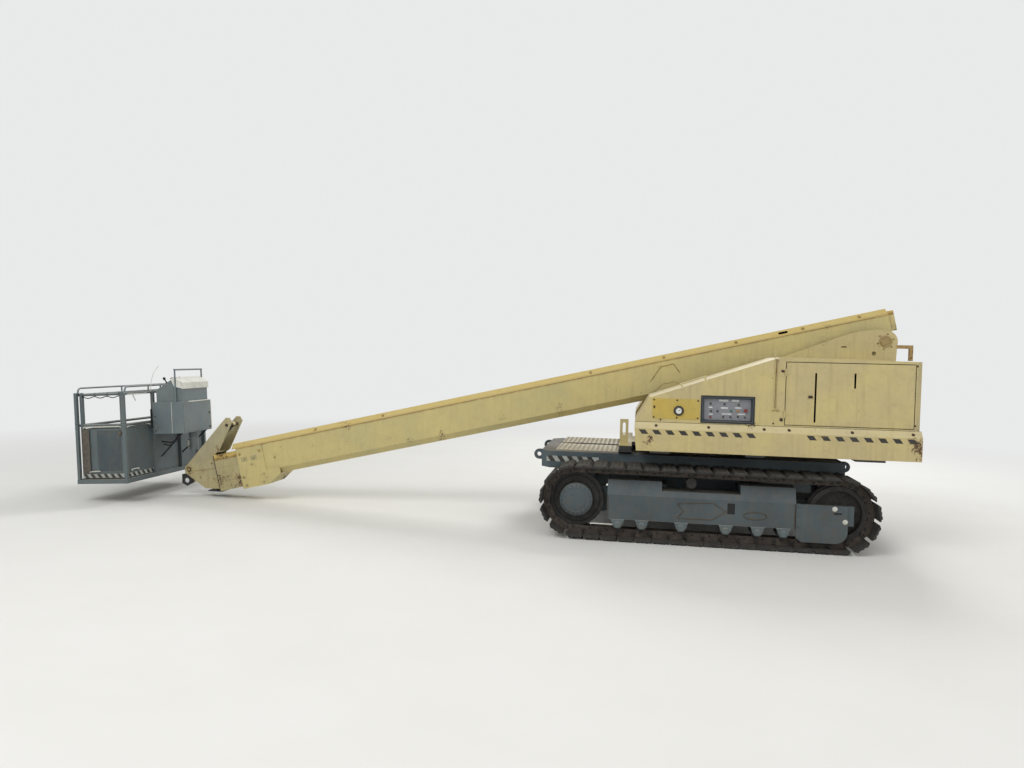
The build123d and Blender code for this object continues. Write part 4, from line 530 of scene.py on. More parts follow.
# Each finish's material, what makes it and with which values
FINISHES = {
    "cream": enamel(
        "faded_cream_enamel", "C0B078", "B6A77A", 0.2, 0.27, "DDD3B4", spots=POD_RUST, dark=FOOT_PAINTED_SHADE
    ),
    "boom_base": enamel(
        "faded_boom_enamel_base", "C2B276", "B6AA76", 0.3, 0.22, "CBBB80", edge=0.303, spots=BASE_RUST
    ),
    "boom_middle": enamel(
        "faded_boom_enamel_middle", "ADA173", "A09770", 0.5, 0.4, "C2B37E", edge=0.212, spots=MIDDLE_RUST
    ),
    "boom_tip": enamel(
        "faded_boom_enamel_tip", "AFA376", "A1987A", 0.35, 0.38, "CDBF86", spots=TIP_RUST, dark=HEAD_PAINTED_SHADE
    ),
    "yellow": enamel("yellow_enamel", "BBA047", "B5A154", 0.3, 0.22, "CDBB7C"),
    "rusty": enamel("rusted_yellow_enamel", "A98C4B", "9C7F4A", 1.0, 0.5, "8A6A45"),
    "stained": enamel("stained_cream_enamel", "A8925A", "8F7B50", 0.8, 0.5, "A08D66"),
    "grey": enamel("blue_grey_enamel", "3A474D", "46545A", 0.25, 0.3, "7A7062", gloss=0.6, soil=0.75),
    "deck": enamel("dusty_grey_deck", "7D7A70", "8B8577", 0.2, 0.3, "CBC2AC", gloss=0.7, cover=(0.7, 1.0)),
    "seam": enamel("dirty_weld_enamel", "3A3630", "4B4237", 0.7, 0.5, "6A5F50", gloss=0.7),
    "boom_seam": enamel("dirty_boom_weld_enamel", "9A8654", "8C7545", 0.6, 0.5, "A8935C", gloss=0.7),
    "basket": enamel("basket_grey_enamel", "515D61", "5D6869", 0.4, 0.45, "A7A69C", gloss=0.55),
    "shade": enamel("dark_grey_enamel", "3A454B", "454F52", 0.3, 0.4, "7A7062", gloss=0.55),
    "pale": enamel("pale_grey_enamel", "636F73", "707A7B", 0.25, 0.35, "B9B8AE"),
    "white": enamel("white_enamel", "D4D4CC", "C2C2B7", 0.3, 0.35, "E8E6DD"),
    "marking": enamel("dull_white_marking_enamel", "AAB0AB", "979C96", 0.35, 0.4, "BDBCB2"),
    "hazard": enamel("black_marking_enamel", "232321", "322F29", 0.6, 0.12, "5D574C"),
    "track": ("rusted_track_steel", rusted_steel, dict(dark="16181A", light="302F2E", dust="554F48", grain=9)),
    "link": ("dusty_link_steel", rusted_steel, dict(dark="282422", light="4A423B", dust="6C6053", grain=9)),
    "worn": (
        "worn_machined_steel", rusted_steel,
        dict(dark="3F3B37", light="6E6860", dust="8D8374", grain=6, metallic=0.6),
    ),
    "pin": ("rusted_pin_steel", rusted_steel, dict(dark="261F1A", light="463529", dust="6A5644", grain=8)),
    "engine": ("grey_cast_iron", rusted_steel, dict(dark="24272A", light="3A3D3F", dust="5C564D", grain=14)),
    "chrome": ("hard_chromed_rod", hard_chrome, {}),
    "nylon": ("cast_nylon_pad", moulded_plastic, dict(colour="CFC8B2", dusty="8B8170")),
    "black": ("black_moulded_plastic", moulded_plastic, dict(colour="1E1F20", dusty="3A3733")),
    "rubber": ("black_rubber", moulded_plastic, dict(colour="17181A", dusty="343230", gloss=0.7)),
    "panel": ("grey_powder_coat", moulded_plastic, dict(colour="7F8187", dusty="716F6D", gloss=0.55)),
    "label": ("blank_label_plate", moulded_plastic, dict(colour="C9CCCB", dusty="A5A39A", gloss=0.4)),
    "dial": ("white_dial_plate", moulded_plastic, dict(colour="E4E4DE", dusty="C9C8BF", gloss=0.3)),
    "red": ("red_moulded_plastic", moulded_plastic, dict(colour="7E2A25", dusty="68403A", gloss=0.35)),
    "green": ("green_moulded_plastic", moulded_plastic, dict(colour="2F6B45", dusty="4B6650", gloss=0.35)),
    "amber": ("amber_moulded_plastic", moulded_plastic, dict(colour="B07428", dusty="8C6A40", gloss=0.35)),
}

NODE_FINISHES = {
    "track": "left_track right_track sprockets idlers track_rollers carrier_rollers",
    "grey": "final_drives track_frames idler_guards car_body",
    "deck": "deck_plates",
    "basket": "basket_frame basket_panels basket_gate basket_mount",
    "pale": "platform_bracket cabinet console",
    "cream": "turntable counterweight front_bracket skirts left_front_cover right_front_cover"
    " rear_covers left_door right_door lift_barrel level_barrel",
    "boom_base": "boom_base",
    "boom_middle": "boom_middle",
    "boom_tip": "boom_tip",
    "rusty": "rear_brackets",
    "stained": "turntable_pins",
    "yellow": "gauge_panel",
    "pin": "head_pins",
    "worn": "slew_ring basket_floor",
    "chrome": "lift_rod level_rod",
    "nylon": "base_pads middle_pads tip_pads",
    "engine": "engine",
    "shade": "control_panel",
}
FRESH = {key: values.get("fresh") for key, (_, _, values) in FINISHES.items()}
LENGTH = dict(subtype="DISTANCE", unit="LENGTH")


class BOOMLIFT_PG_paint(PropertyGroup):
    """Colours of the main paints, before they fade."""

    cream: StringProperty(name="Housings", description="Paint of the housings, sRGB hex", default=FRESH["cream"])
    boom_base: StringProperty(
        name="Boom", description="Paint of the boom's base, sRGB hex", default=FRESH["boom_base"]
    )
    yellow: StringProperty(
        name="Gauge Panel", description="Paint of the gauge panel, sRGB hex", default=FRESH["yellow"]
    )
    grey: StringProperty(
        name="Undercarriage", description="Paint of the undercarriage, sRGB hex", default=FRESH["grey"]
    )
    basket: StringProperty(name="Basket", description="Paint of the basket, sRGB hex", default=FRESH["basket"])


class BOOMLIFT_PG_track(PropertyGroup):
    """Sizes of the track chains."""

    shoes: IntProperty(name="Shoes", description="Shoes on each track", default=41, min=20)
    pitch: FloatProperty(name="Pitch", description="Distance between chain pins", default=0.19, **LENGTH)
    shoe_width: FloatProperty(
        name="Shoe Width", description="Shoe length across the machine", default=0.5, **LENGTH
    )
    plate_low: FloatProperty(
        name="Plate Underside", description="Height of a shoe's underside over the pin line", default=0.042, **LENGTH
    )
    plate: FloatProperty(name="Plate", description="Shoe plate thickness", default=0.012, **LENGTH)
    rib: FloatProperty(name="Rib", description="Height of a shoe's ribs", default=0.02, **LENGTH)


class BOOMLIFT_PG_stage(PropertyGroup):
    """Floor, lamps and camera."""

    floor_colour: StringProperty(name="Floor", description="Floor colour, sRGB hex", default="E4E3DF")
    key_power: FloatProperty(
        name="Key Power", description="Power of the large key lamp", default=980.0, subtype="POWER", unit="POWER"
    )
    lens: FloatProperty(name="Lens", description="Camera focal length in mm", default=27.04)


# Centres of the undercarriage's wheels and the line of the chain's pins, as X and Z
PIN_LINE = 0.076
WHEEL = 0.190 / (2 * sin(pi / 11))
SPROCKET = np.array([-1.413, PIN_LINE + WHEEL + 0.018])
IDLER = np.array([1.413, PIN_LINE + WHEEL])
ROLLERS = np.array([-0.942, -0.672, -0.243, 0.237, 0.574, 0.845])
TRACK_Y = 1.05
FRAME_HALF = 0.150
GUARD_PLATE = 0.016


def chain_loop(fractions):
    """Places on the chain's pin line and its headings, for fractions of one turn.

    The loop is two straight runs and a half circle round the sprocket, two straight runs over
    the carrier roller, and a half circle round the idler. It is sampled finely and read off by
    its own length.
    """
    carrier = np.array([-0.140, 0.766])
    first_roller = np.array([ROLLERS[0], PIN_LINE])

    def touch(centre, point, upper):
        away = np.arctan2(*(point - centre)[::-1])
        opening = np.arccos(WHEEL / np.linalg.norm(point - centre))
        spots = [centre + WHEEL * np.array([cos(a), sin(a)]) for a in (away + opening, away - opening)]
        return max(spots, key=lambda p: p[1]) if upper else min(spots, key=lambda p: p[1])

    def arc(centre, start, end):
        a, b = (np.arctan2(*(p - centre)[::-1]) for p in (start, end))
        b -= 2 * pi * np.ceil((b - a) / (2 * pi))
        turn = np.linspace(a, b, 400)[:, None]
        return centre + WHEEL * np.hstack([np.cos(turn), np.sin(turn)])

    line = np.vstack(
        [
            first_roller,
            arc(SPROCKET, touch(SPROCKET, first_roller, False), touch(SPROCKET, carrier, True)),
            carrier,
            arc(IDLER, touch(IDLER, carrier, True), np.array([IDLER[0], PIN_LINE])),
            first_roller,
        ]
    )
    along = np.r_[0, np.cumsum(np.linalg.norm(np.diff(line, axis=0), axis=1))]

    def at(fraction):
        distance = np.mod(fraction, 1.0) * along[-1]
        return np.stack([np.interp(distance, along, line[:, 0]), np.interp(distance, along, line[:, 1])], -1)

    heading = at(fractions + 1e-3) - at(fractions - 1e-3)
    heading /= np.linalg.norm(heading, axis=-1, keepdims=True)
    return at(fractions), heading


def along_chain(local, places, headings, y):
    """Local points (forward, out, across) of one link put at every place of the chain.

    A point is place + forward * heading + out * outward, and y + across.
    """
    outward = np.stack([-headings[:, 1], headings[:, 0]], -1)
    forward, out, across = np.asarray(local).T
    flat = (
        places[:, None, :]
        + forward[None, :, None] * headings[:, None, :]
        + out[None, :, None] * outward[:, None, :]
    )
    level = np.broadcast_to(y + across, flat.shape[:2])
    return np.stack([flat[..., 0], level, flat[..., 1]], -1)


class BOOMLIFT_OT_tracks(Operator):
    """Make the two track chains: ribbed shoes, link rails, pin bosses and shoe bolts"""

    bl_idname = "boomlift.tracks"
    bl_label = "Tracks"

    def execute(self, context):
        size = context.scene.boomlift_track
        count, half, top = size.shoes, size.pitch / 2 - 0.0035, size.plate_low + size.plate
        middles, headings = chain_loop((np.arange(count) + 0.5) / count)
        pins, _ = chain_loop(np.arange(count) / count)

        def chained(y, *rows):
            """One grid of points, its rows given one by one, copied to every shoe of the chain."""
            return along_chain(np.vstack(rows), middles, headings, y), repeated(len(rows), len(rows[0]), count)

        # Shoe profile, forward and out: a plate with three worn ribs, run together into one hump
        rise = np.array(
            [
                (-0.083, -0.014), (-0.077, 0.10), (-0.069, 0.72), (-0.060, 0.97),
                (-0.049, 1.0), (-0.038, 0.86), (-0.024, 0.66), (-0.011, 0.90),
            ]
        )
        ribs = np.vstack([rise, (0.0, 0.97), rise[::-1] * (-1, 1)])
        profile = np.vstack(
            [
                [(-half, size.plate_low - 0.004), (-half, top - 0.010)],
                ribs * (1, size.rib) + (0, top),
                [(half, top - 0.010), (half, size.plate_low - 0.004)],
                [(half - 0.012, size.plate_low), (-half + 0.012, size.plate_low)],
            ]
        )
        # Carried across the shoe: the ribs run out over the last 12 mm of each end
        forward, out = profile.T
        shoe = [
            np.insert(
                np.column_stack([forward, np.where(out > top, top + lift * (out - top), out)]),
                2, size.shoe_width / 2 * share, axis=1,
            )
            for share, lift in ((-1.0, 0.45), (-0.952, 1.0), (0.952, 1.0), (1.0, 0.45))
        ]
        # Link rails: a plate with round ends, stepped sideways so that neighbours overlap
        turn = np.linspace(pi / 2, 3 * pi / 2, 9)
        end = np.column_stack([0.031 * np.cos(turn), 0.033 * np.sin(turn)])
        foot = [(0.06, size.plate_low), (-0.06, size.plate_low)]
        outline = np.vstack([(-0.095, -0.003) + end, (0.095, -0.003) - end, foot])
        rail_y, rail_half = 0.060, 0.0072

        def step(forward):
            return 0.0075 * np.tanh(forward / 0.03)

        for name, way in SIDES:
            y = way * TRACK_Y
            pin = [(0.012, -0.086), (0.020, -0.082), (0.020, 0.082), (0.012, 0.086)]
            parts = [chained(y, *shoe), turned(at_y(y, pins), ACROSS, pin, 12)]
            window_shade_discs, links = [], []
            for rail in (-1, 1):
                middle = rail * (rail_y + step(outline[:, 0]))
                plate = (np.insert(outline, 2, middle + t, axis=1) for t in (-rail_half, rail_half))
                links.append(chained(y, *plate))
                # Painted shade: black discs where the links' bolt windows are, for the shade inside them
                for forward in (-0.027, 0.027):
                    ring = oval(forward, -0.014, 0.0135, 10, 0.0120)
                    face = rail_y + step(forward) + rail_half
                    disc = (np.insert(ring, 2, rail * (face + t), axis=1) for t in (-0.003, 0.0012))
                    window_shade_discs.append(chained(y, *disc))
            for forward in (-0.0315, 0.0315):
                for across in (-rail_y, rail_y):
                    ring = oval(forward, across, 0.0115, 6)
                    head = (np.insert(ring, 1, top + t, axis=1) for t in (-0.001, 0.015))
                    parts.append(chained(y, *head))
            chain = put_mesh(f"{name}_track_chain", parts, "track", "chassis")
            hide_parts(f"{name}_track")
            put_mesh(f"{name}_track_links", links, "link", "chassis")
            put_mesh(f"{name}_track_bolt_window_shade", window_shade_discs, "rubber", "chassis", "track_steel")
        return {"FINISHED"}


class BOOMLIFT_OT_undercarriage(Operator):
    """Fit the undercarriage: drive bolts, roller saddles, weld outlines, stripes and deck tread"""

    bl_idname = "boomlift.undercarriage"
    bl_label = "Undercarriage"

    def execute(self, context):
        face_y, guard_y = TRACK_Y + FRAME_HALF, TRACK_Y + FRAME_HALF + GUARD_PLATE
        for name, way in SIDES:
            out = way * ACROSS

            def at(x, z, off=0.0):
                x, z = np.broadcast_arrays(x, z)
                return np.stack([x, np.full(x.shape, way * (face_y + off)), z], -1)

            # Final drive: twenty bolts on the cover's slope, level plugs and a seal ring
            ring = at(*oval(*SPROCKET, 0.158, 20).T, -0.0066)
            plugs = at(SPROCKET[0] + np.array([0.05, -0.05]), SPROCKET[1] + np.array([-0.07, 0.06]))
            disc = [(0.118, -0.001), (0.118, 0.004), (0.112, 0.006), (0.03, 0.007), (0.0, 0.007)]
            drive = [bolts(ring, out, 0.0095), bolts(plugs, out, 0.012), turned(at(*SPROCKET), out, disc, 48)]
            put_mesh(f"{name}_final_drive_bolts", drive, "grey", "chassis")
            seals = [
                turned(at(*SPROCKET, -0.118), out, oval(radius, 0.0, thickness), 64, loop=True)
                for radius, thickness in ((0.190, 0.008), (0.262, 0.006))
            ]
            put_mesh(f"{name}_drive_seal", seals, "rubber", "chassis")

            # Weld outlines on the frame: an arrow, an oval and two upright seams
            arrow = [(-0.293, 0.449), (-0.222, 0.368), (-0.288, 0.286), (0.090, 0.288), (0.238, 0.387), (0.096, 0.474)]
            beads = [
                weld_bead(at(*np.array(arrow).T), out, 0.0065, loop=True),
                weld_bead(at(*oval(0.544, 0.356, 0.122, 28, 0.040).T), out, 0.0065, loop=True),
                weld_bead(at([-1.052, -1.052], [0.245, 0.505]), out, 0.005),
                weld_bead(at([0.962, 0.962], [0.245, 0.505]), out, 0.006),
            ]
            put_mesh(f"{name}_frame_weld_outlines", beads, "seam", "chassis", "grey_paint")
            # Painted shade: a black sheet set in the frame's inspection window, for the shade in its recess
            window_shade_sheet = side_slabs(way, box_outline(0.2505, 0.3295, 0.3605, 0.4795), face_y, -0.014, -0.005)
            put_mesh(f"{name}_frame_window_shade", [window_shade_sheet], "rubber", "chassis")
            # Dished web that closes the idler's wheel, on both faces
            hub = (IDLER[0], way * TRACK_Y, IDLER[1])
            dish = [(0.255, -0.004), (0.255, 0.004), (0.10, 0.012), (0.0, 0.014)]
            web = [turned(hub, out, dish, 40), turned(hub, -out, dish, 40)]
            put_mesh(f"{name}_idler_web", web, "track", "chassis")

            # Saddles that hold the track rollers, each with a hub and two bolts
            saddle = [(-0.078, 0.238), (-0.050, 0.166), (-0.028, 0.136), (0.028, 0.136), (0.050, 0.166), (0.078, 0.238)]
            saddles = side_slabs(way, in_a_row(saddle, ROLLERS), face_y, 0.0, 0.010, 0.003)
            hub = [(0.036, 0.0), (0.036, 0.016), (0.030, 0.020), (0.012, 0.020)]
            hubs = turned(at(ROLLERS, 0.1743), out, hub, 20)
            nuts = at(np.concatenate([ROLLERS - 0.054, ROLLERS + 0.054]), 0.222, 0.010)
            put_mesh(f"{name}_roller_saddles", [saddles, hubs, bolts(nuts, out, 0.010)], "basket", "chassis")

            # Idler guard: two bright bolts, bolts down the front edge, a slot painted as a black sheet of shade, and
            # its border
            pale = bolts(at([1.362, 1.472], [0.480, 0.345], GUARD_PLATE), out, 0.019)
            put_mesh(f"{name}_guard_bright_bolts", [pale], "white", "chassis")
            edge_bolts = bolts(at(0.992, np.array([0.15, 0.27, 0.39, 0.485]), GUARD_PLATE), out, 0.010)
            turn = np.linspace(pi / 2, 3 * pi / 2, 8)
            end = 0.014 * np.column_stack([np.cos(turn), np.sin(turn)])
            stadium = np.vstack([(1.363, 0.430) + end, (1.427, 0.430) - end])
            rim = swept(at(*stadium.T, GUARD_PLATE), 0.004, out, 6, loop=True)
            put_mesh(f"{name}_guard_fittings", [edge_bolts, rim], "grey", "chassis")
            # Painted shade: a black sheet for the slot's dark opening
            slot = side_slabs(way, stadium, guard_y, -0.001, 0.0012)
            put_mesh(f"{name}_guard_slot_shade", [slot], "rubber", "chassis")

            # Scraper bar behind the sprocket, carried by the first roller's collar
            bar = swept(rounded(at([-1.246, -1.225, -0.985], [0.166, 0.172, 0.171], -0.015), 0.012), 0.008, out, 10)
            put_mesh(f"{name}_scraper_bar", [bar], "white", "chassis")

            # Black and white marking on the side of the deck
            ground = side_slabs(way, box_outline(-1.81, -1.19, 0.797, 0.863), DECK_Y, -0.001, 0.0008)
            put_mesh(f"{name}_deck_marking_white", [ground], "marking", "chassis")
            stripe = [(0.0, 0.863), (0.060, 0.863), (0.105, 0.797), (0.045, 0.797)]
            black = side_slabs(way, in_a_row(stripe, np.arange(5) * 0.118 - 1.805), DECK_Y, 0.0, 0.0014)
            put_mesh(f"{name}_deck_marking_black", [black], "hazard", "chassis")

        # Tread on the two deck covers: lozenges in alternate directions
        grid = np.meshgrid(np.arange(13), np.arange(11), (-1, 1), indexing="ij")
        column, row, cover = (numbers.ravel() for numbers in grid)
        outlines = lozenges(-1.670 + 0.0567 * column, cover * (0.095 + 0.061 * row), (column + row) % 2, 0.022)
        tread = slabs(outlines, (0, 0, 0.940), LENGTHWAYS, ACROSS, -0.001, 0.003, 0.0015)
        put_mesh("deck_tread", [tread], "deck", "chassis")

        # Hoses clipped in the channel between the covers
        run = np.array([(-1.64, 0.905), (-1.60, 0.934), (-1.10, 0.934), (-0.72, 0.934), (-0.66, 0.905)])
        hoses = [
            swept(rounded(np.insert(run, 1, y, axis=1), 0.03), 0.010, ACROSS, 10)
            for y in (-0.036, -0.012, 0.012, 0.036)
        ]
        put_mesh("deck_hoses", hoses, "rubber", "chassis")
        strap = [(-0.055, 0.92), (-0.055, 0.948), (-0.048, 0.9525), (0.048, 0.9525), (0.055, 0.948), (0.055, 0.92)]
        clips = [slabs(strap, (x, 0, 0), ACROSS, UPRIGHT, -0.012, 0.012, 0.002) for x in (-1.45, -1.1, -0.8)]
        put_mesh("deck_hose_clips", clips, "worn", "chassis")
        # Bolts of the slewing ring
        ring = np.insert(oval(0.0, 0.0, 0.625, 36), 2, 0.92, axis=1)
        put_mesh("slew_ring_bolts", [bolts(ring, UPRIGHT, 0.013)], "worn", "chassis")
        return {"FINISHED"}


class BOOMLIFT_OT_housings(Operator):
    """Fit the housings: hazard stripes, bolts, latches, seals, reflectors and pivot keepers"""

    bl_idname = "boomlift.housings"
    bl_label = "Housings"

    def execute(self, context):
        for name, way in SIDES:
            out = way * ACROSS

            def at(places, off=0.0):
                return np.insert(np.asarray(places, float), 1, way * (HOUSING_Y + off), axis=1)

            # Hazard stripes under the seam of the skirt, in two groups
            starts = np.concatenate([np.linspace(-0.735, 0.412, 9), np.linspace(1.037, 2.045, 8)])
            stripe = [(0.0, 1.262), (0.072, 1.262), (0.108, 1.214), (0.036, 1.214)]
            stripes = side_slabs(way, in_a_row(stripe, starts), SKIRT_Y, -0.0005, 0.001)
            put_mesh(f"{name}_skirt_stripes", [stripes], "hazard", "superstructure")
            # Bolts on the sloping band, at the seam and round the covers
            band = at([(x, 1.309) for x in (-0.546, 0.019, 0.604, 0.863, 1.505, 2.111)], 0.026)
            seam = at([(0.781, 1.418), (0.781, 1.947)])
            corners = at([(-0.50, 1.375), (0.700, 1.375), (2.135, 1.40), (2.135, 2.03)])
            bar = [bolts(band, (0, way * 0.81, 0.58), 0.012), bolts(seam, out, 0.013), bolts(corners, out, 0.007)]
            put_mesh(f"{name}_housing_bolts", bar, "pin", "superstructure")
            # Rubber along the foot of the covers
            foot = side_slabs(way, box_outline(-0.770, 2.135, 1.3435, 1.3475), HOUSING_Y, -0.002, 0.0015)
            put_mesh(f"{name}_housing_seal", [foot], "rubber", "superstructure")
            # Stay rod on the front cover, with its foot and its eye
            rod = swept(at([(0.715, 1.52), (0.715, 1.75), (0.715, 2.04)], 0.007), 0.0055, out, 8)
            foot = [(0.680, way * 1.206, 1.521), (0.715, way * 1.207, 1.524), (0.752, way * 1.206, 1.514)]
            eye = turned(at([(0.715, 2.055)], 0.006), out, oval(0.013, 0.0, 0.005), 16, loop=True)
            put_mesh(f"{name}_cover_stay", [rod, swept(foot, 0.007, out, 8), eye], "stained", "superstructure")
            # Rear: bolted edge and a round reflector in its collar
            rear = [(REAR_X, way * y, z) for z in (1.39, 2.03) for y in (0.40, 0.62, 0.84, 1.06)]
            put_mesh(f"{name}_rear_bolts", [bolts(rear, LENGTHWAYS, 0.009)], "pin", "superstructure")
            lens = [(0.040, 0.0), (0.040, 0.006), (0.034, 0.011), (0.020, 0.014), (0.0, 0.015)]
            place = (REAR_X, way * 1.02, 1.52)
            put_mesh(f"{name}_rear_reflector", [turned(place, LENGTHWAYS, lens, 28)], "red", "superstructure")
            collar = turned(place, LENGTHWAYS, oval(0.044, 0.002, 0.005), 28, loop=True)
            put_mesh(f"{name}_reflector_collar", [collar], "black", "superstructure")
            # Pivot keeper: a plate over the pin's head, with its bolts and six round the boss
            keeper = rotated(np.array(box_outline(-0.062, 0.062, -0.03, 0.03)), radians(25))
            head = PIVOT + 0.330 * out
            plate = slabs(keeper * (-way, 1), head, -way * LENGTHWAYS, UPRIGHT, -0.002, 0.008, 0.002)
            spots = head + np.array([(0.045, way * 0.008, 0.02), (-0.045, way * 0.008, -0.02)])
            boss = np.insert(oval(PIVOT[0], PIVOT[2], 0.088, 6, start=0.3), 1, way * 0.320, axis=1)
            keepers = [plate, bolts(spots, out, 0.010), bolts(boss, out, 0.008)]
            put_mesh(f"{name}_pivot_keeper", keepers, "stained", "superstructure")
            # Bead where the cheek's skin meets the turntable
            bead = [(0.55, way * 0.322, 2.083), (0.80, way * 0.322, 2.095), (2.19, way * 0.322, 2.083)]
            put_mesh(f"{name}_cheek_bead", [weld_bead(bead, out, 0.005)], "cream", "superstructure")

            # Door furniture: a T latch with its plate, a rubber edge and corner bolts
            body = f"{name}_door_body"
            plate = side_slabs(way, box_outline(1.052, 1.096, 1.659, 1.689), HOUSING_Y, -0.001, 0.003, 0.001)
            stem = turned(at([(1.074, 1.674)], 0.003), out, [(0.007, 0.0), (0.007, 0.010)], 12)
            handle = [(1.052, way * 1.214, 1.674), (1.074, way * 1.215, 1.674), (1.096, way * 1.214, 1.674)]
            put_mesh(f"{name}_door_latch", [plate, stem, swept(handle, 0.0045, out, 8)], "pin", body)
            edge = at(box_outline(0.8195, 2.1205, 1.368, 2.041), -0.0015)
            seal = swept(evenly(edge, 0.03, loop=True), 0.0022, out, 6, loop=True)
            put_mesh(f"{name}_door_seal", [seal], "rubber", body)
            corners = at([(x, z) for x in (0.86, 2.08) for z in (1.40, 2.00)])
            put_mesh(f"{name}_door_bolts", [bolts(corners, out, 0.006)], "cream", body)
        return {"FINISHED"}


class BOOMLIFT_OT_controls(Operator):
    """Fit the ground controls on the left: switches, lamps, blank labels, a stop button and the dial"""

    bl_idname = "boomlift.controls"
    bl_label = "Ground Controls"

    def execute(self, context):
        way, wall, plate = -1, 1.158, 0.003  # the left side, the tray's floor and the face plate on it
        out = way * ACROSS
        left, width, low, height = -0.045, 0.524, 1.380, 0.252

        def spot(across, down, off=plate):
            return np.array([left + across * width, way * (wall + off), low + (1 - down) * height])

        face = box_outline(left + 0.012, left + width - 0.012, low + 0.01, low + height - 0.01)
        put_mesh("control_face", [side_slabs(way, face, wall, -0.001, plate, 0.002)], "panel", "superstructure")
        switches = (
            (0.16, 0.26), (0.44, 0.27), (0.17, 0.58), (0.42, 0.82),
            (0.57, 0.82), (0.72, 0.80), (0.86, 0.82), (0.30, 0.58),
        )
        nuts = turned([spot(*place) for place in switches], out, [(0.013, 0.0), (0.013, 0.004), (0.009, 0.007)], 6)
        put_mesh("control_switch_nuts", [nuts], "worn", "superstructure", "dark_panel")
        levers = [
            swept([spot(*place, 0.005), spot(*place, 0.036) + 0.009 * UPRIGHT], [0.0035, 0.006], LENGTHWAYS, 10)
            for place in switches
        ]
        put_mesh("control_switch_levers", levers, "black", "superstructure")
        dome = [(0.013, 0.0), (0.013, 0.006), (0.010, 0.012), (0.005, 0.015), (0.0, 0.016)]
        for finish, *place in (("green", 0.58, 0.55), ("amber", 0.72, 0.55), ("red", 0.16, 0.84)):
            put_mesh(f"control_lamp_{finish}", [turned(spot(*place), out, dome, 16)], finish, "superstructure")
        stop = [(0.014, 0.0), (0.014, 0.010), (0.019, 0.014), (0.020, 0.022), (0.015, 0.028), (0.0, 0.030)]
        put_mesh("control_stop_button", [turned(spot(0.87, 0.52), out, stop, 24)], "red", "superstructure")
        blade = box_outline(-0.003, 0.003, -0.012, 0.012)
        key = [
            turned(spot(0.73, 0.27), out, [(0.012, 0.0), (0.012, 0.010), (0.009, 0.013)], 16),
            slabs(blade, spot(0.73, 0.27, 0.016), LENGTHWAYS, UPRIGHT, -0.002, 0.016, 0.001),
        ]
        put_mesh("control_key", key, "worn", "superstructure", "dark_panel")
        # Blank labels: place on the face, half width and half height
        labels = [
            np.tile(spot(across, down)[[0, 2]], (4, 1)) + box_outline(-half, half, -rise, rise)
            for across, down, half, rise in (
                (0.42, 0.11, 0.050, 0.010), (0.66, 0.10, 0.040, 0.010), (0.16, 0.42, 0.020, 0.007),
                (0.44, 0.43, 0.036, 0.008), (0.72, 0.41, 0.034, 0.007), (0.17, 0.72, 0.020, 0.006),
                (0.49, 0.69, 0.052, 0.006), (0.79, 0.68, 0.040, 0.006),
            )
        ]
        put_mesh("control_labels", [side_slabs(way, labels, wall + plate, -0.0005, 0.001)], "label", "superstructure")
        screws = [(x, way * 1.203, z) for x in (-0.060, 0.217, 0.494) for z in (1.364, 1.648)]
        put_mesh("control_frame_screws", [bolts(screws, out, 0.006)], "pin", "superstructure")
        rim = np.insert(box_outline(-0.060, 0.494, 1.364, 1.648), 1, way * 1.203, axis=1)
        border = swept(evenly(rim, 0.03, loop=True), 0.006, out, 8, loop=True)
        put_mesh("control_frame_border", [border], "black", "superstructure")

        # Dial: a thick black collar, a white plate, ticks and a needle
        centre = np.array([-0.305, way * 1.208, 1.479])
        ring = [(0.033, 0.0), (0.035, 0.012), (0.044, 0.015), (0.053, 0.011), (0.055, 0.0)]
        put_mesh("dial_collar", [turned(centre, out, ring, 48, loop=True)], "black", "superstructure")
        disc = turned(centre, out, [(0.034, 0.0), (0.034, 0.003), (0.0, 0.0032)], 48)
        put_mesh("dial_plate", [disc], "dial", "superstructure")
        turn = np.linspace(-pi / 5, 6 * pi / 5, 15)[:, None]
        ticks = rotated(np.array([box_outline(0.024, 0.030, -0.0006, 0.0006)] * len(turn)), turn)
        needle = [(-0.006, -0.0015), (0.004, -0.002), (0.022, 0.0145), (0.0215, 0.015)]
        marks = [
            slabs(ticks, centre, LENGTHWAYS, UPRIGHT, 0.0028, 0.0038),
            slabs(needle, centre, LENGTHWAYS, UPRIGHT, 0.0036, 0.005),
            turned(centre, out, [(0.004, 0.003), (0.004, 0.0065), (0.0, 0.007)], 12),
        ]
        put_mesh("dial_marks", marks, "black", "superstructure")
        screws = [(x, way * 1.204, z) for x in (-0.575, -0.325, -0.100) for z in (1.402, 1.594)]
        tag = side_slabs(way, box_outline(-0.580, -0.562, 1.500, 1.530), 1.204, -0.001, 0.006, 0.002)
        put_mesh("gauge_panel_screws", [bolts(screws, out, 0.007), tag], "pin", "superstructure")
        return {"FINISHED"}


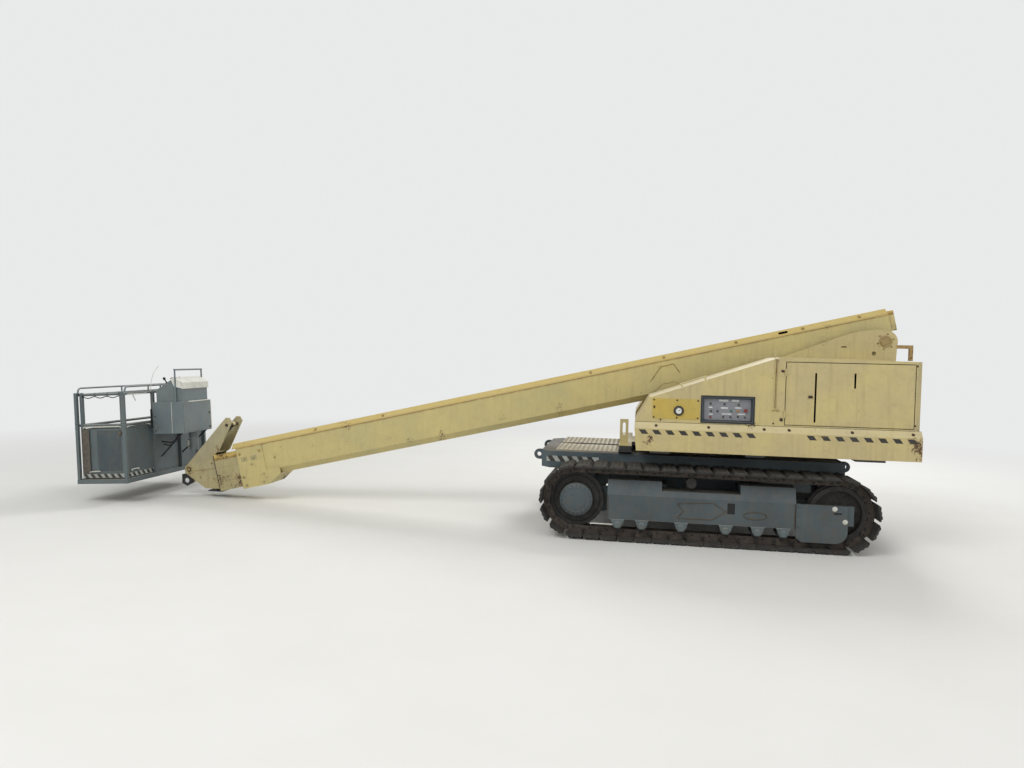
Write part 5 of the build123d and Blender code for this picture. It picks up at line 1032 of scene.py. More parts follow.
class BOOMLIFT_OT_boom(Operator):
    """Fit the boom: weld beads, lugs, doublers, collar and block bolts, pipes on the cylinders"""

    bl_idname = "boomlift.boom"
    bl_label = "Boom Fittings"

    def execute(self, context):
        for name, way in SIDES:
            out = way * ACROSS
            slope = (OVER + out) / np.sqrt(2)  # square to the chamfer

            # Bead along the lower side of the chamfer
            bead = weld_bead(on_boom([0.05, 7.95], 0.300, way * 0.210), out, 0.0035)
            put_mesh(f"{name}_boom_bead", [bead], "boom_seam", "boom_base_body")
            # Painted shade: a black sheet behind the slot in the chamfer, for the shade inside the boom
            slot = box_outline(1.02, 1.32, 0.300, 0.362)
            shade_sheet = slabs(slot, PIVOT + way * 0.012 * ACROSS, ALONG, OVER, -0.004, 0.004)
            put_mesh(f"{name}_slot_shade_sheet", [shade_sheet], "rubber", "boom_base_body")
            # Lugs on the chamfer, each a bent strap with a bolt
            feet = on_boom([0.19, 0.84, 1.63, 2.51, 3.43, 6.21, 7.17], 0.339, way * 0.174)
            tab = [(-0.016, -0.018), (0.016, -0.018), (0.016, 0.010), (0.006, 0.020), (-0.006, 0.020), (-0.016, 0.010)]
            tabs = [slabs(tab, foot, ALONG, np.cross(slope, ALONG), -0.002, 0.008, 0.002) for foot in feet]
            lugs = [*tabs, bolts(feet + 0.007 * slope, slope, 0.009)]
            put_mesh(f"{name}_boom_lugs", lugs, "boom_seam", "boom_base_body")
            # Doubler over the cylinder's lug: welded round its edge, with a hoop inside
            edge = [(-0.708, 1.600), (-0.487, 1.950), (-0.335, 1.990), (-0.191, 1.800)]
            turn = np.linspace(-0.15 * pi, 1.15 * pi, 12)
            hoop = np.column_stack([-0.405 + 0.078 * np.cos(turn), 1.822 + 0.078 * np.sin(turn)])
            beads = [
                weld_bead(at_y(way * 0.211, line), out, size) for line, size in ((edge, 0.006), (hoop, 0.005))
            ]
            put_mesh(f"{name}_boom_doubler_beads", beads, "boom_seam", "boom_base_body")

            # Collar at the mouth: bolts round it, and the wear pads' adjusting bolts on plates
            spots = [
                (8.00, 0.22), (8.29, 0.22), (8.00, -0.10), (8.29, -0.10), (8.145, 0.06), (8.02, -0.21), (8.27, -0.21),
            ]
            collar = on_boom(*np.transpose(spots), way * 0.222)
            pads = on_boom([8.10, 8.24], 0.14, way * 0.222)
            pad = box_outline(-0.045, 0.045, -0.030, 0.030)
            plates = [slabs(pad, place, -way * ALONG, OVER, -0.001, 0.008, 0.002) for place in pads]
            parts = [bolts(collar, out, 0.013), *plates, bolts(pads + 0.008 * out, out, 0.012)]
            put_mesh(f"{name}_collar_bolts", parts, "boom_middle", "boom_base_body")
            # Block of the middle section: bolts and a bead
            spots = [(along, over) for over in (0.215, -0.165) for along in (8.385, 8.51, 8.635)]
            block = on_boom(*np.transpose([*spots, (8.44, 0.03), (8.58, 0.03)]), way * 0.204)
            put_mesh(f"{name}_block_bolts", [bolts(block, out, 0.012)], "boom_middle", "boom_middle_body")
            bead = weld_bead(on_boom([8.36, 8.66], 0.095, way * 0.204), out, 0.004)
            put_mesh(f"{name}_block_bead", [bead], "boom_middle", "boom_middle_body")

            # Head: pin keepers, flange bolts and the seam that crosses the plate
            pin_x, pin_z = FOOT_PIN[[0, 2]]
            cap = turned((pin_x, way * 0.160, pin_z), out, [(0.020, -0.002), (0.020, 0.004), (0.014, 0.007)], 18)
            around = bolts(at_y(way * HEAD_Y, oval(pin_x, pin_z, 0.045, 3, start=0.4)), out, 0.006)
            put_mesh(f"{name}_head_keepers", [cap, around], "stained", "boom_tip_body", "dark_panel")
            seam = at_y(way * (HEAD_Y + 0.001), [(-6.79, 0.352), (-6.60, 0.372), (-6.41, 0.412)])
            spots = at_y(way * HEAD_Y, [(-6.50, 0.47), (-6.46, 0.26), (-6.66, 0.27)])
            head = [bolts(spots, out, 0.009), weld_bead(seam, out, 0.0035)]
            put_mesh(f"{name}_head_bolts", head, "boom_seam", "boom_tip_body")
            # Dirty seam down the front edge of the block, behind the head, its dark colour also painted shade between
            # the head plate and the block
            seam = weld_bead(at_y(way * 0.2035, [(-6.334, 0.112), (-6.446, 0.580)]), out, 0.006)
            put_mesh(f"{name}_block_seam_and_shade", [seam], "seam", "boom_middle_body", "cream_paint")

        # Tail of the boom: a bolted cap over the extension gear
        plan = [(-0.17, -0.09), (0.17, -0.09), (0.17, 0.26), (0.11, 0.32), (-0.11, 0.32), (-0.17, 0.26)]
        tail = slabs(plan, on_boom(-0.12, 0.0, 0.0), ACROSS, OVER, -0.003, 0.008, 0.004)
        spots = on_boom(-0.128, [-0.07, -0.07, 0.24, 0.24, 0.08, 0.08], [-0.14, 0.14] * 3)
        put_mesh("boom_tail_cap", [tail, bolts(spots, -ALONG, 0.010)], "rusty", "boom_base_body")

        # Pipes along the lift and levelling cylinders, with a banjo at each end
        for name, ends, shares, lift, radius in (
            ("lift", [(1.750, 1.150), (-0.400, 1.500)], (0.13, 0.15, 0.76, 0.78), 0.104, 0.009),
            ("level", [(-6.262, 1.024), (-6.736, 0.613)], (0.14, 0.17, 0.70, 0.73), 0.050, 0.005),
        ):
            start, end = at_y(0.0, ends)
            length = np.linalg.norm(end - start)
            ahead = (end - start) / length
            above = np.cross(ACROSS, ahead)
            low = lift - 2.2 * radius
            run = [start + share * length * ahead + h * above for share, h in zip(shares, (low, lift, lift, low))]
            pipe = swept(rounded(run, 1.2 * radius), radius, ACROSS, 10)
            nut = [(2.0 * radius, 0.0), (2.0 * radius, 2.5 * radius), (1.2 * radius, 3.2 * radius)]
            banjos = turned([run[0] - 1.5 * radius * above, run[3] - 1.5 * radius * above], above, nut, 6)
            put_mesh(f"{name}_cylinder_pipe", [pipe, banjos], "worn", f"{name}_barrel_body", "bright_steel")
        return {"FINISHED"}


# The basket's corner posts in its own frame: the outer and the inner row, and how far to a side
POST_OUTER, POST_INNER, POST_Y = -1.078, -0.402, 0.908


def basket_bar(points, radius, side, bend=0.0):
    """A round bar through points of the basket's own frame (out, y, up), its corners bent."""
    path = on_basket(*np.transpose(points))
    return swept(rounded(path, bend) if bend else path, radius, side)


class BOOMLIFT_OT_basket(Operator):
    """Fit the basket: stripes, handles, straps, floor tread, cabinet door, hood and upper controls"""

    bl_idname = "boomlift.basket"
    bl_label = "Basket Fittings"

    def execute(self, context):
        gate, panel = on_basket(0.0, -0.886, 0.0), on_basket(-0.4205, 0.0, 0.0)  # the faces that carry most
        # Toe board on the gate's foot and along the boom side: black leaning marks on a pale band
        for name, face, level, start, end, body in (
            ("gate", gate, OUT, -1.046, -0.436, "basket_gate_body"),
            ("side", panel, ACROSS, -0.880, -0.230, "basket_body"),
        ):
            band = slabs(box_outline(start, end, 0.004, 0.056), face, level, UP, -0.001, 0.003, 0.001)
            put_mesh(f"{name}_toe_board", [band], "marking", body)
            mark = [(0.036, 0.006), (0.082, 0.006), (0.046, 0.054), (0.0, 0.054)]
            marks = in_a_row(mark, np.arange(start + 0.01, end - 0.09, 0.096))
            put_mesh(f"{name}_toe_board_marks", [slabs(marks, face, level, UP, 0.002, 0.0042)], "hazard", body)

        # Gate: kick plate, edge plate, hand strips and a catch
        kick = box_outline(-0.830, -0.480, 0.090, 0.620)
        kick = slabs(kick, on_basket(0.0, -0.870, 0.0), OUT, UP, 0.0, 0.003, 0.002)
        put_mesh("gate_kick_plate", [kick], "shade", "basket_gate_body")
        plate = slabs(box_outline(-1.044, -0.930, 0.060, 0.640), gate, OUT, UP, 0.0, 0.003, 0.001)
        put_mesh("gate_edge_plate", [plate], "worn", "basket_gate_body")
        handle = at_y(-0.8995, [(-0.93, 0.075), (-0.93, 0.085), (-0.79, 0.095), (-0.79, 0.085)])
        strip = at_y(-0.8875, [(-1.010, 0.655), (-1.000, 0.668), (-0.480, 0.668), (-0.470, 0.655)])
        grips = [basket_bar(handle, 0.006, ACROSS, 0.008), basket_bar(strip, 0.008, ACROSS, 0.010)]
        put_mesh("gate_grips", grips, "white", "basket_gate_body")
        catch = slabs(box_outline(-0.500, -0.430, 0.560, 0.610), gate, OUT, UP, 0.0, 0.010, 0.003)
        knob = [(0.008, 0.0), (0.008, 0.012), (0.016, 0.018), (0.015, 0.026), (0.0, 0.030)]
        knob = turned(on_basket(-0.465, -0.896, 0.585), -ACROSS, knob, 16)
        put_mesh("gate_catch", [catch, knob], "worn", "basket_gate_body", "dark_panel")

        # Pale strips on the boom side, a handle by the toe board, and clamps on the posts
        strips = [
            basket_bar(
                [(-0.381, -0.88, 0.655), (-0.381, -0.87, 0.668), (-0.381, -0.42, 0.668), (-0.381, -0.41, 0.655)],
                0.008, ACROSS, 0.012,
            ),
            basket_bar(
                [(-0.400, -0.80, 0.080), (-0.400, -0.80, 0.100), (-0.400, -0.66, 0.100), (-0.400, -0.66, 0.080)],
                0.006, OUT, 0.008,
            ),
            basket_bar([(-0.372, -0.86, 1.078), (-0.372, -0.46, 1.078)], 0.007, OUT),
            basket_bar([(-0.405, -0.72, 1.090), (-0.415, -0.64, 0.99)], 0.006, OUT),
        ]
        put_mesh("basket_pale_strips", strips, "white", "basket_body")
        posts = on_basket([POST_OUTER, POST_INNER] * 2, [-POST_Y, -POST_Y, POST_Y, POST_Y], 0.69)
        clamp = oval(0.0275, 0.0, 0.005, 6)
        clamps = [turned(posts + lift * UP, UP, clamp, 20, loop=True) for lift in (-0.03, 0.03)]
        put_mesh("basket_post_clamps", clamps, "basket", "basket_body")
        # Rivets along the lower and upper edges of the boom-side panel
        rivets = on_basket(-0.4205, np.tile(np.linspace(-0.80, 0.86, 14), 2), np.repeat([0.03, 0.62], 14))
        rivets = turned(rivets, OUT, [(0.009, -0.001), (0.008, 0.003), (0.004, 0.005)], 8)
        put_mesh("basket_panel_rivets", [rivets], "pale", "basket_body")
        # Black strap beside the cabinet, and the bent wire on the top rail
        strap = box_outline(-0.415, -0.375, 0.600, 0.860)
        strap = slabs(strap, on_basket(-0.366, 0.0, 0.0), ACROSS, UP, 0.0, 0.006, 0.002)
        put_mesh("basket_strap", [strap], "rubber", "basket_body")
        wire = [(-0.390, -0.345, 1.09), (-0.388, -0.340, 1.21), (-0.375, -0.30, 1.34), (-0.345, -0.22, 1.44)]
        put_mesh("basket_wire", [basket_bar(wire, 0.004, LENGTHWAYS, 0.05)], "white", "basket_body")
        # Raised rail over three sides, on short stubs
        line = [
            (POST_OUTER, -0.872, 1.100), (POST_OUTER, -0.86, 1.180), (POST_OUTER, POST_Y, 1.180),
            (POST_INNER, POST_Y, 1.180), (POST_INNER, -0.86, 1.180), (POST_INNER, -0.872, 1.100),
        ]
        rail = swept(rounded(on_basket(*np.transpose(line)), 0.05), 0.012, (1, 0.3, 0.2), 10)
        stubs = [
            basket_bar([(row, y, 1.095), (row, y, 1.175)], 0.010, OUT)
            for row, places in ((POST_OUTER, (0.0, 0.89)), (POST_INNER, (0.89, 0.30, -0.38)))
            for y in places
        ]
        put_mesh("basket_raised_rail", [rail, *stubs], "pale", "basket_body")
        # Wiring tied under the gate's top rail: it sags three times, by a squared sine
        share = np.linspace(0, 1, 41)
        sag = 0.020 * np.sin(share * 3 * pi) ** 2
        cable = swept(on_basket(-1.005 + 0.535 * share, -0.889, 1.064 - sag), 0.006, ACROSS)
        ties = on_basket([-0.995, -0.827, -0.649, -0.480], -0.867, 1.090)
        ties = turned(ties, OUT, oval(0.019, 0.0, 0.003, 6), 16, loop=True)
        put_mesh("gate_wiring", [cable, ties], "rubber", "basket_gate_body")
        # Floor tread: lozenges on the sheet
        row, column = (a.ravel() for a in np.meshgrid(np.arange(11), np.arange(29), indexing="ij"))
        outlines = lozenges(-1.030 + 0.058 * row, -0.840 + 0.060 * column, (row + column) % 2, 0.020)
        tread = slabs(outlines, on_basket(0.0, 0.0, -0.010), OUT, ACROSS, -0.001, 0.003, 0.0015)
        put_mesh("basket_floor_tread", [tread], "worn", "basket_body")

        # Cabinet: a door with a pale rim and corner bolts, a seam and catches on its near side
        leaf = box_outline(-0.325, 0.325, 0.530, 0.930)
        leaf = slabs(leaf, on_basket(0.070, 0.0, 0.0), ACROSS, UP, 0.0, 0.003, 0.001)
        put_mesh("cabinet_door", [leaf], "pale", "basket_body")
        rim = [
            basket_bar([(0.0715, -0.20, 0.939), (0.0715, 0.334, 0.939), (0.0715, 0.334, 0.530)], 0.0075, OUT, 0.03),
            basket_bar([(-0.10, -0.3405, 0.52), (-0.10, -0.3405, 0.94)], 0.003, OUT),
        ]
        put_mesh("cabinet_rim", rim, "white", "basket_body")
        corners, near = on_basket(0.073, 0.295, [0.56, 0.76]), on_basket([-0.34, -0.35], -0.340, [0.56, 0.75])
        heads = [bolts(corners, OUT, 0.010), bolts(near, -ACROSS, 0.007)]
        put_mesh("cabinet_bolts", heads, "pin", "basket_body")
        # Braces and a bundle of pipes under the cabinet
        pipes = (
            [(-0.06, -0.26, 0.520), (-0.08, -0.24, 0.430), (-0.20, -0.22, 0.380), (-0.36, -0.20, 0.400)],
            [(-0.10, -0.18, 0.520), (-0.14, -0.18, 0.450), (-0.25, -0.17, 0.330), (-0.36, -0.16, 0.360)],
        )
        braces = [
            basket_bar([(0.02, -0.30, 0.517), (-0.345, -0.24, 0.200)], 0.011, ACROSS),
            basket_bar([(0.02, 0.30, 0.517), (-0.345, 0.24, 0.200)], 0.011, ACROSS),
            basket_bar(pipes[0], 0.009, ACROSS, 0.05),
            basket_bar(pipes[1], 0.008, ACROSS, 0.05),
        ]
        put_mesh("cabinet_braces", braces, "rubber", "basket_body")
        sleeve = swept(on_basket(-0.085, 0.0, [0.285, 0.35, 0.418]), [0.0125, 0.0130, 0.0125], OUT, 12)
        put_mesh("riser_sleeve", [sleeve], "white", "platform_bracket_body")

        # Hood over the back of the console: a bent sheet with raised sides
        fold = np.array(
            [(-0.120, 1.262), (-0.085, 1.280), (-0.065, 1.282), (0.050, 1.216), (0.062, 1.200), (0.064, 1.120)]
        )
        sheet = np.vstack([fold, fold[::-1] - (0.003, 0.005)])
        hood = slabs(sheet, on_basket(0.0, 0.318, 0.0), OUT, UP, 0.0, 0.636)
        ear = [(-0.110, 1.255), (-0.065, 1.276), (0.050, 1.211), (0.060, 1.120), (-0.060, 1.150)]
        ears = [slabs(ear, on_basket(0.0, y, 0.0), OUT, UP, 0.0, 0.003) for y in (-0.3145, 0.3175)]
        put_mesh("console_hood", [hood, *ears], "white", "basket_body")
        # Upper controls on the sloping desk
        desk = np.array([0.27, 0.16]) / np.hypot(0.27, 0.16)
        lie = desk[0] * OUT + desk[1] * UP
        stand = np.cross(lie, ACROSS)

        def on_desk(along, y):
            return on_basket(-0.34 + along * desk[0], y, 1.110 + along * desk[1])

        plate = slabs(box_outline(-0.285, 0.285, 0.015, 0.255), on_desk(0.0, 0.0), ACROSS, lie, -0.003, 0.001)
        put_mesh("console_face", [plate], "panel", "basket_body")
        stick = [
            (0.034, 0.0), (0.030, 0.010), (0.032, 0.014), (0.024, 0.022), (0.026, 0.026), (0.016, 0.034),
            (0.008, 0.060), (0.008, 0.085), (0.017, 0.095), (0.019, 0.112), (0.014, 0.125), (0.0, 0.128),
        ]
        toggle = [(0.010, 0.0), (0.010, 0.006), (0.004, 0.009), (0.006, 0.030), (0.0, 0.031)]
        button = [(0.016, 0.0), (0.016, 0.012), (0.028, 0.016), (0.030, 0.024), (0.024, 0.031), (0.0, 0.034)]
        sticks = turned(on_desk(0.12, [-0.18, 0.18]), stand, stick, 20)
        toggles = turned(on_desk(0.07, [-0.08, -0.04, 0.0, 0.04, 0.08]), stand, toggle, 10)
        put_mesh("console_sticks", [sticks, toggles], "black", "basket_body")
        put_mesh("console_stop_button", [turned(on_desk(0.17, 0.0), stand, button, 24)], "red", "basket_body")
        return {"FINISHED"}


class BOOMLIFT_OT_engine(Operator):
    """Dress the engine: ribs, rocker cover, manifold, filters, pulleys and belt"""

    bl_idname = "boomlift.engine"
    bl_label = "Engine"

    def execute(self, context):
        body, slot = "superstructure", "engine_iron"
        (x0, y0, z0), (x1, y1, z1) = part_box("engine")
        middle = (y0 + y1) / 2
        # Ribs and rails on the side towards the door, a rocker cover with bolts on top
        stations = np.linspace(x0 + 0.10, x1 - 0.10, 9)
        ribs = [box_outline(x + 0.010, x - 0.010, z0 + 0.10, z1 - 0.12) for x in stations]
        rails = [box_outline(x1 - 0.01, x0 + 0.01, z, z + 0.045) for z in (z0 + 0.02, z1 - 0.085)]
        plan = [
            (x0 + 0.16, middle - 0.11), (x0 + 0.20, middle - 0.15),
            (x1 - 0.20, middle - 0.15), (x1 - 0.16, middle - 0.11),
            (x1 - 0.16, middle + 0.11), (x1 - 0.20, middle + 0.15),
            (x0 + 0.20, middle + 0.15), (x0 + 0.16, middle + 0.11),
        ]
        heads = [(x, middle + way * 0.165, z1) for x in np.linspace(x0 + 0.22, x1 - 0.22, 5) for way in (-1, 1)]
        castings = [
            side_slabs(1, ribs, y1, -0.002, 0.022, 0.006),
            side_slabs(1, rails, y1, -0.002, 0.028, 0.008),
            slabs(plan, (0, 0, z1), LENGTHWAYS, ACROSS, -0.002, 0.075, 0.020),
            bolts(heads, UPRIGHT, 0.010),
        ]
        put_mesh("engine_castings", castings, "engine", body)
        cap = [(0.036, 0.0), (0.036, 0.014), (0.030, 0.024), (0.0, 0.026)]
        cap = turned((x0 + 0.30, middle, z1 + 0.074), UPRIGHT, cap, 12)
        put_mesh("engine_filler_cap", [cap], "amber", body, slot)
        # Manifold: a log with four stubs, bent down at its end
        log_y, log_z = y1 + 0.055, z1 - 0.16
        log = [(x0 + 0.12, log_z), (x1 - 0.12, log_z), (x1 - 0.05, log_z - 0.09), (x1 - 0.05, z0 + 0.10)]
        stubs = [
            [(x, y1 - 0.005, log_z - 0.05), (x, y1 + 0.030, log_z - 0.045), (x, log_y, log_z)]
            for x in np.linspace(x0 + 0.20, x1 - 0.25, 4)
        ]
        manifold = [
            swept(rounded(at_y(log_y, log), 0.05), 0.027, (0, 0.3, 1), 14),
            *(swept(rounded(stub, 0.02), 0.020, LENGTHWAYS, 12) for stub in stubs),
        ]
        put_mesh("engine_manifold", manifold, "pin", body, slot)
        # Oil and fuel filters, hung on the side
        can = [(0.040, 0.0), (0.046, 0.006), (0.046, 0.110), (0.050, 0.116), (0.050, 0.130), (0.030, 0.140)]
        filters = turned([(x0 + x, y1 + 0.050, z0 + 0.14) for x in (0.33, 0.46)], UPRIGHT, can, 20)
        put_mesh("engine_filters", [filters], "label", body, slot)
        # Air cleaner on the rear of the engine, with its intake
        drum = [
            (0.060, 0.0), (0.095, 0.008), (0.100, 0.020), (0.100, 0.250),
            (0.106, 0.256), (0.106, 0.270), (0.080, 0.285),
        ]
        cleaner = turned((x1 - 0.42, middle + 0.02, z1 + 0.176), LENGTHWAYS, drum, 28)
        intake = at_y(middle + 0.02, [(x1 - 0.41, z1 + 0.176), (x1 - 0.50, z1 + 0.176), (x1 - 0.53, z1 + 0.05)])
        intake = swept(rounded(intake, 0.05), 0.034, ACROSS, 14)
        put_mesh("engine_air_cleaner", [cleaner, intake], "black", body, slot)

        # Pulleys and belt on the front: each pulley's Y, Z and radius
        pulleys = np.array(
            [(middle, z0 + 0.18, 0.090), (middle, z1 - 0.16, 0.070), (y1 - 0.10, z1 - 0.30, 0.045)]
        )
        rim = [(1.0, -0.002), (1.0, 0.018), (0.82, 0.024), (1.0, 0.030), (1.0, 0.040), (0.4, 0.044), (0.35, 0.060)]
        wheels = [turned((x0, y, z), -LENGTHWAYS, np.array(rim) * (radius, 1), 32) for y, z, radius in pulleys]
        put_mesh("engine_pulleys", wheels, "worn", body, slot)
        # The belt touches, in every direction, the pulley that reaches farthest that way
        centres, groove = pulleys[:, :2], 0.86 * pulleys[:, 2]
        heading = np.linspace(0, 2 * pi, 181)[:-1]
        normal = np.column_stack([np.cos(heading), np.sin(heading)])
        lead = (normal @ centres.T + groove).argmax(axis=1)
        loop = centres[lead] + groove[lead, None] * normal
        belt = swept(np.insert(loop, 0, x0 - 0.024, axis=1), 0.008, LENGTHWAYS, 6, loop=True)
        put_mesh("engine_belt", [belt], "rubber", body, slot)
        return {"FINISHED"}


class BOOMLIFT_OT_tank(Operator):
    """Fill the left housing: hydraulic tank with its cap and gauge, a valve block, hoses and a battery"""

    bl_idname = "boomlift.tank"
    bl_label = "Hydraulic Tank"

    def execute(self, context):
        body, slot = "superstructure", "engine_iron"
        way, face = -1, 1.05  # the left side, and the tank's face towards the door
        out = way * ACROSS
        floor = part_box("engine")[0][2]
        # Tank: a folded box with round corners and two pressed ribs on its face
        turn = np.linspace(0, pi / 2, 6)
        middle, half, bend = np.array([1.36, -0.79]), np.array([0.36, 0.26]), 0.05
        plan = [
            middle + sign * (half - bend) + bend * np.column_stack([np.cos(turn + start), np.sin(turn + start)])
            for sign, start in zip(np.array([(1, 1), (-1, 1), (-1, -1), (1, -1)]), np.arange(4) * pi / 2)
        ]
        ribs = [box_outline(x, x + 0.05, floor + 0.03, floor + 0.53) for x in (1.10, 1.57)]
        tank = [
            slabs(np.vstack(plan), floor * UPRIGHT, LENGTHWAYS, ACROSS, 0.0, 0.56, 0.012),
            side_slabs(way, ribs, face, -0.002, 0.008, 0.003),
        ]
        put_mesh("hydraulic_tank", tank, "shade", body, "grey_paint")
        cap = [(0.045, 0.0), (0.045, 0.012), (0.038, 0.014), (0.038, 0.040), (0.030, 0.046), (0.0, 0.048)]
        head = [(0.075, 0.0), (0.075, 0.030), (0.060, 0.042), (0.0, 0.046)]
        drain = [(0.022, 0.0), (0.022, 0.012), (0.014, 0.020), (0.0, 0.020)]
        caps = [
            turned((1.16, -0.92, floor + 0.558), UPRIGHT, cap, 24),
            turned((1.50, -0.80, floor + 0.558), UPRIGHT, head, 28),
            turned((1.36, way * face, floor + 0.07), out, drain, 6),
        ]
        put_mesh("hydraulic_tank_caps", caps, "worn", body, slot)
        sight = box_outline(1.262, 1.288, floor + 0.16, floor + 0.40)
        sight = side_slabs(way, sight, face, -0.002, 0.006, 0.002)
        put_mesh("hydraulic_tank_gauge", [sight], "label", body, slot)

        # Valve block with its solenoids, and hoses from it into the tank's top
        block = side_slabs(way, box_outline(0.86, 0.95, floor + 0.02, floor + 0.34), 0.96, -0.12, 0.0, 0.006)
        coil = [(0.024, 0.0), (0.024, 0.055), (0.018, 0.060), (0.008, 0.060), (0.008, 0.070)]
        levels = floor + np.array([0.07, 0.14, 0.21, 0.28])
        coils = turned([(0.905, -0.961, z) for z in levels], out, coil, 16)
        put_mesh("valve_block", [block, coils], "worn", body, slot)
        ends = -0.945 + 0.030 * np.arange(4)
        top, lid = floor + 0.64, floor + 0.556
        runs = [[(0.945, z), (0.975, z), (0.975, top), (1.06, top), (1.06, lid)] for z in levels]
        hoses = [swept(rounded(at_y(y, run), 0.04), 0.012, ACROSS, 10) for y, run in zip(ends, runs)]
        nuts = [(1.06, y, floor + 0.558) for y in ends]
        nuts = turned(nuts, UPRIGHT, [(0.019, 0.0), (0.019, 0.018), (0.014, 0.024)], 6)
        put_mesh("hydraulic_hose_nuts", [nuts], "worn", body, slot)
        put_mesh("hydraulic_hoses", hoses, "rubber", body)

        # Battery with two posts, held by a strap
        case = side_slabs(way, box_outline(1.80, 2.06, floor, floor + 0.20), 1.06, -0.18, 0.0, 0.006)
        lid = side_slabs(way, box_outline(1.795, 2.065, floor + 0.195, floor + 0.225), 1.065, -0.19, 0.0, 0.006)
        put_mesh("battery", [case, lid], "black", body)
        posts = [(x, -0.97, floor + 0.224) for x in (1.84, 2.02)]
        posts = turned(posts, UPRIGHT, [(0.014, 0.0), (0.012, 0.020), (0.0, 0.020)], 14)
        line = [(1.93, y, floor + z) for y, z in ((-1.067, 0.02), (-1.067, 0.229), (-0.873, 0.229), (-0.873, 0.02))]
        strap = swept(rounded(line, 0.01), 0.004, LENGTHWAYS)
        put_mesh("battery_fittings", [posts, strap], "worn", body, "bright_steel")
        return {"FINISHED"}


class BOOMLIFT_OT_finishes(Operator):
    """Give every CAD node its finish"""

    bl_idname = "boomlift.finishes"
    bl_label = "Finishes"

    def execute(self, context):
        for key, names in NODE_FINISHES.items():
            for name in names.split():
                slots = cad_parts[name].data.materials
                slots.clear()
                slots.append(finish_of(key))
        return {"FINISHED"}


def seen(tree):
    """1 for what the camera sees, itself or in mirrors and glass, and 0 for what only lights."""
    path = add(tree, "LightPath")
    rays = (path.outputs["Is Camera Ray"], path.outputs["Is Glossy Ray"])
    either = add(tree, "Math", rays, "Value", operation="MAXIMUM")
    return add(tree, "Math", (either, path.outputs["Is Transmission Ray"]), "Value", operation="MAXIMUM")


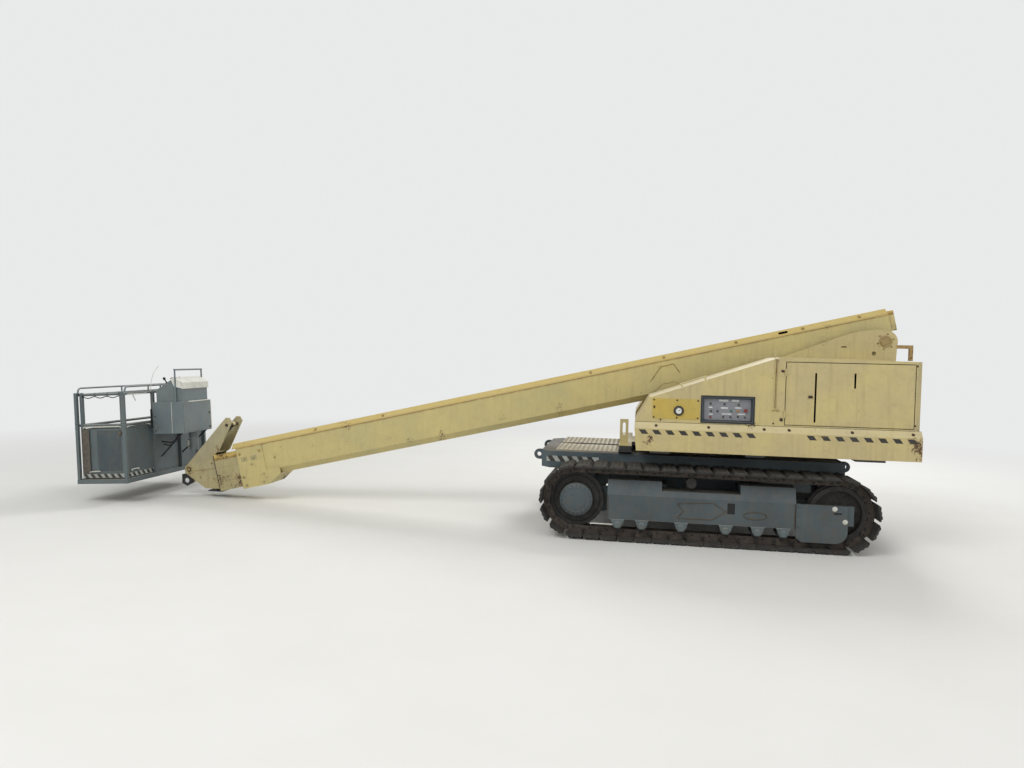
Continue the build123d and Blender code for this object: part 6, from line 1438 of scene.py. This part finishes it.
class BOOMLIFT_OT_stage(Operator):
    """Lay the floor, hang the lamps and set the camera"""

    bl_idname = "boomlift.stage"
    bl_label = "Stage"

    def execute(self, context):
        scene, settings = context.scene, context.scene.boomlift_stage
        # Camera: place, then yaw, pitch and roll in radians
        yaw, pitch, roll = 0.1623, 0.0368, 0.0233
        ahead = np.array([-sin(yaw) * cos(pitch), cos(yaw) * cos(pitch), -sin(pitch)])
        right = np.array([cos(yaw), sin(yaw), 0.0])
        above = np.cross(right, ahead)
        right, above = right * cos(roll) + above * sin(roll), above * cos(roll) - right * sin(roll)
        turn = np.column_stack([right, above, -ahead])
        camera = bpy.data.objects.new("camera", bpy.data.cameras.new("camera"))
        camera.data.lens = settings.lens
        camera.data.sensor_width = 36.0
        camera.data.clip_end = 200.0
        camera.matrix_world = Matrix.Translation((-0.758, -9.859, 2.043)) @ Matrix(turn.tolist()).to_4x4()
        scene.collection.objects.link(camera)
        scene.camera = camera
        # What the camera and reflections see of the far floor and the sky is the same pale grey
        backdrop, backdrop_level = linear("EFF0F0"), 0.94
        # Floor: one wide disc of painted concrete, a grid of rings and spokes
        radii, angles = np.linspace(0.0, 1.0, 12) ** 2 * 90, np.arange(64) * 2 * pi / 64
        ring, spoke = np.meshgrid(radii, angles, indexing="ij")
        places = np.stack([ring * np.cos(spoke), ring * np.sin(spoke), np.zeros_like(ring)], -1)
        mesh = bpy.data.meshes.new("floor")
        index = np.arange(ring.size).reshape(ring.shape)
        after = np.roll(index, -1, axis=1)
        quads = np.stack([index[:-1], index[1:], after[1:], after[:-1]], -1).reshape(-1, 4)
        mesh.from_pydata(places.reshape(-1, 3).tolist(), [], quads.tolist())
        floor_material, tree, shader = new_material("pale_painted_concrete", Roughness=0.9)
        coords = add(tree, "TexCoord", (), "Object")
        mottle = add(tree, "TexNoise", (coords, None, per_metre(900), 4.0, 0.6), "Fac")
        paints = {0: mottle, 6: linear(settings.floor_colour), 7: linear("DDDCD7")}
        tone = add(tree, "Mix", paints, 2, data_type="RGBA")
        tree.links.new(tone, shader.inputs["Base Color"])
        away = add(tree, "VectorMath", (coords, (-2.0, 0.0, 0.0)), "Value", operation="DISTANCE")
        distant = add(tree, "MapRange", (away, 6.5, 15.0), "Result")
        glow = add(tree, "Emission", (backdrop, backdrop_level), "Emission")
        far = add(tree, "Math", (seen(tree), distant), "Value", operation="MULTIPLY")
        mixed = add(tree, "MixShader", (far, shader.outputs["BSDF"], glow), "Shader")
        output = next(node for node in tree.nodes if node.type == "OUTPUT_MATERIAL")
        tree.links.new(mixed, output.inputs["Surface"])
        mesh.materials.append(floor_material)
        floor = bpy.data.objects.new("floor", mesh)
        scene.collection.objects.link(floor)
        # Sky: pale to the camera, softer to what it lights
        world = bpy.data.worlds.new("studio")
        world.use_nodes = True
        scene.world = world
        tree = world.node_tree
        tree.nodes.clear()
        level = add(tree, "MapRange", (seen(tree), 0.0, 1.0, 0.66, backdrop_level), "Result")
        sky = add(tree, "Background", (backdrop, level), "Background")
        add(tree, "OutputWorld", (sky,))
        # Lamps: name, place, aim, width and share of the key's power
        for name, place, aim, width, share in (
            ("key", (-7.0, -11.0, 12.0), (-1.5, 0.0, 1.0), 7.0, 1.0),
            ("fill", (10.0, -12.0, 6.0), (0.0, 0.0, 1.2), 9.0, 0.35),
            ("back", (3.0, 10.0, 11.0), (-1.0, 0.0, 1.5), 5.0, 1.0),
        ):
            lamp = bpy.data.objects.new(name, bpy.data.lights.new(name, "AREA"))
            lamp.data.size = width
            lamp.data.energy = settings.key_power * share
            lamp.location = place
            lamp.rotation_mode = "QUATERNION"
            lamp.rotation_quaternion = (Vector(aim) - Vector(place)).to_track_quat("-Z", "Y")
            scene.collection.objects.link(lamp)
        scene.view_settings.view_transform = "Standard"
        return {"FINISHED"}


class BOOMLIFT_PT_sidebar(Panel):
    """Lists the operators in the order in which they run"""

    bl_label = "Boom Lift"
    bl_space_type = "VIEW_3D"
    bl_region_type = "UI"
    bl_category = "Boom Lift"

    def draw(self, context):
        for operator in OPERATORS:
            self.layout.operator(operator.bl_idname)


OPERATORS = (
    BOOMLIFT_OT_finishes,
    BOOMLIFT_OT_tracks,
    BOOMLIFT_OT_undercarriage,
    BOOMLIFT_OT_housings,
    BOOMLIFT_OT_controls,
    BOOMLIFT_OT_boom,
    BOOMLIFT_OT_basket,
    BOOMLIFT_OT_engine,
    BOOMLIFT_OT_tank,
    BOOMLIFT_OT_stage,
)
GROUPS = {
    "boomlift_paint": BOOMLIFT_PG_paint,
    "boomlift_track": BOOMLIFT_PG_track,
    "boomlift_stage": BOOMLIFT_PG_stage,
}


def register():
    """Registers the classes and their settings."""
    for cls in (*GROUPS.values(), *OPERATORS, BOOMLIFT_PT_sidebar):
        bpy.utils.register_class(cls)
    for name, group in GROUPS.items():
        setattr(bpy.types.Scene, name, PointerProperty(type=group))


def unregister():
    """Takes the settings and classes away again."""
    for name in GROUPS:
        delattr(bpy.types.Scene, name)
    for cls in reversed((*GROUPS.values(), *OPERATORS, BOOMLIFT_PT_sidebar)):
        bpy.utils.unregister_class(cls)


def main():
    register()
    for operator in OPERATORS:
        group, name = operator.bl_idname.split(".")
        getattr(getattr(bpy.ops, group), name)()


if __name__ == "__main__":
    main()
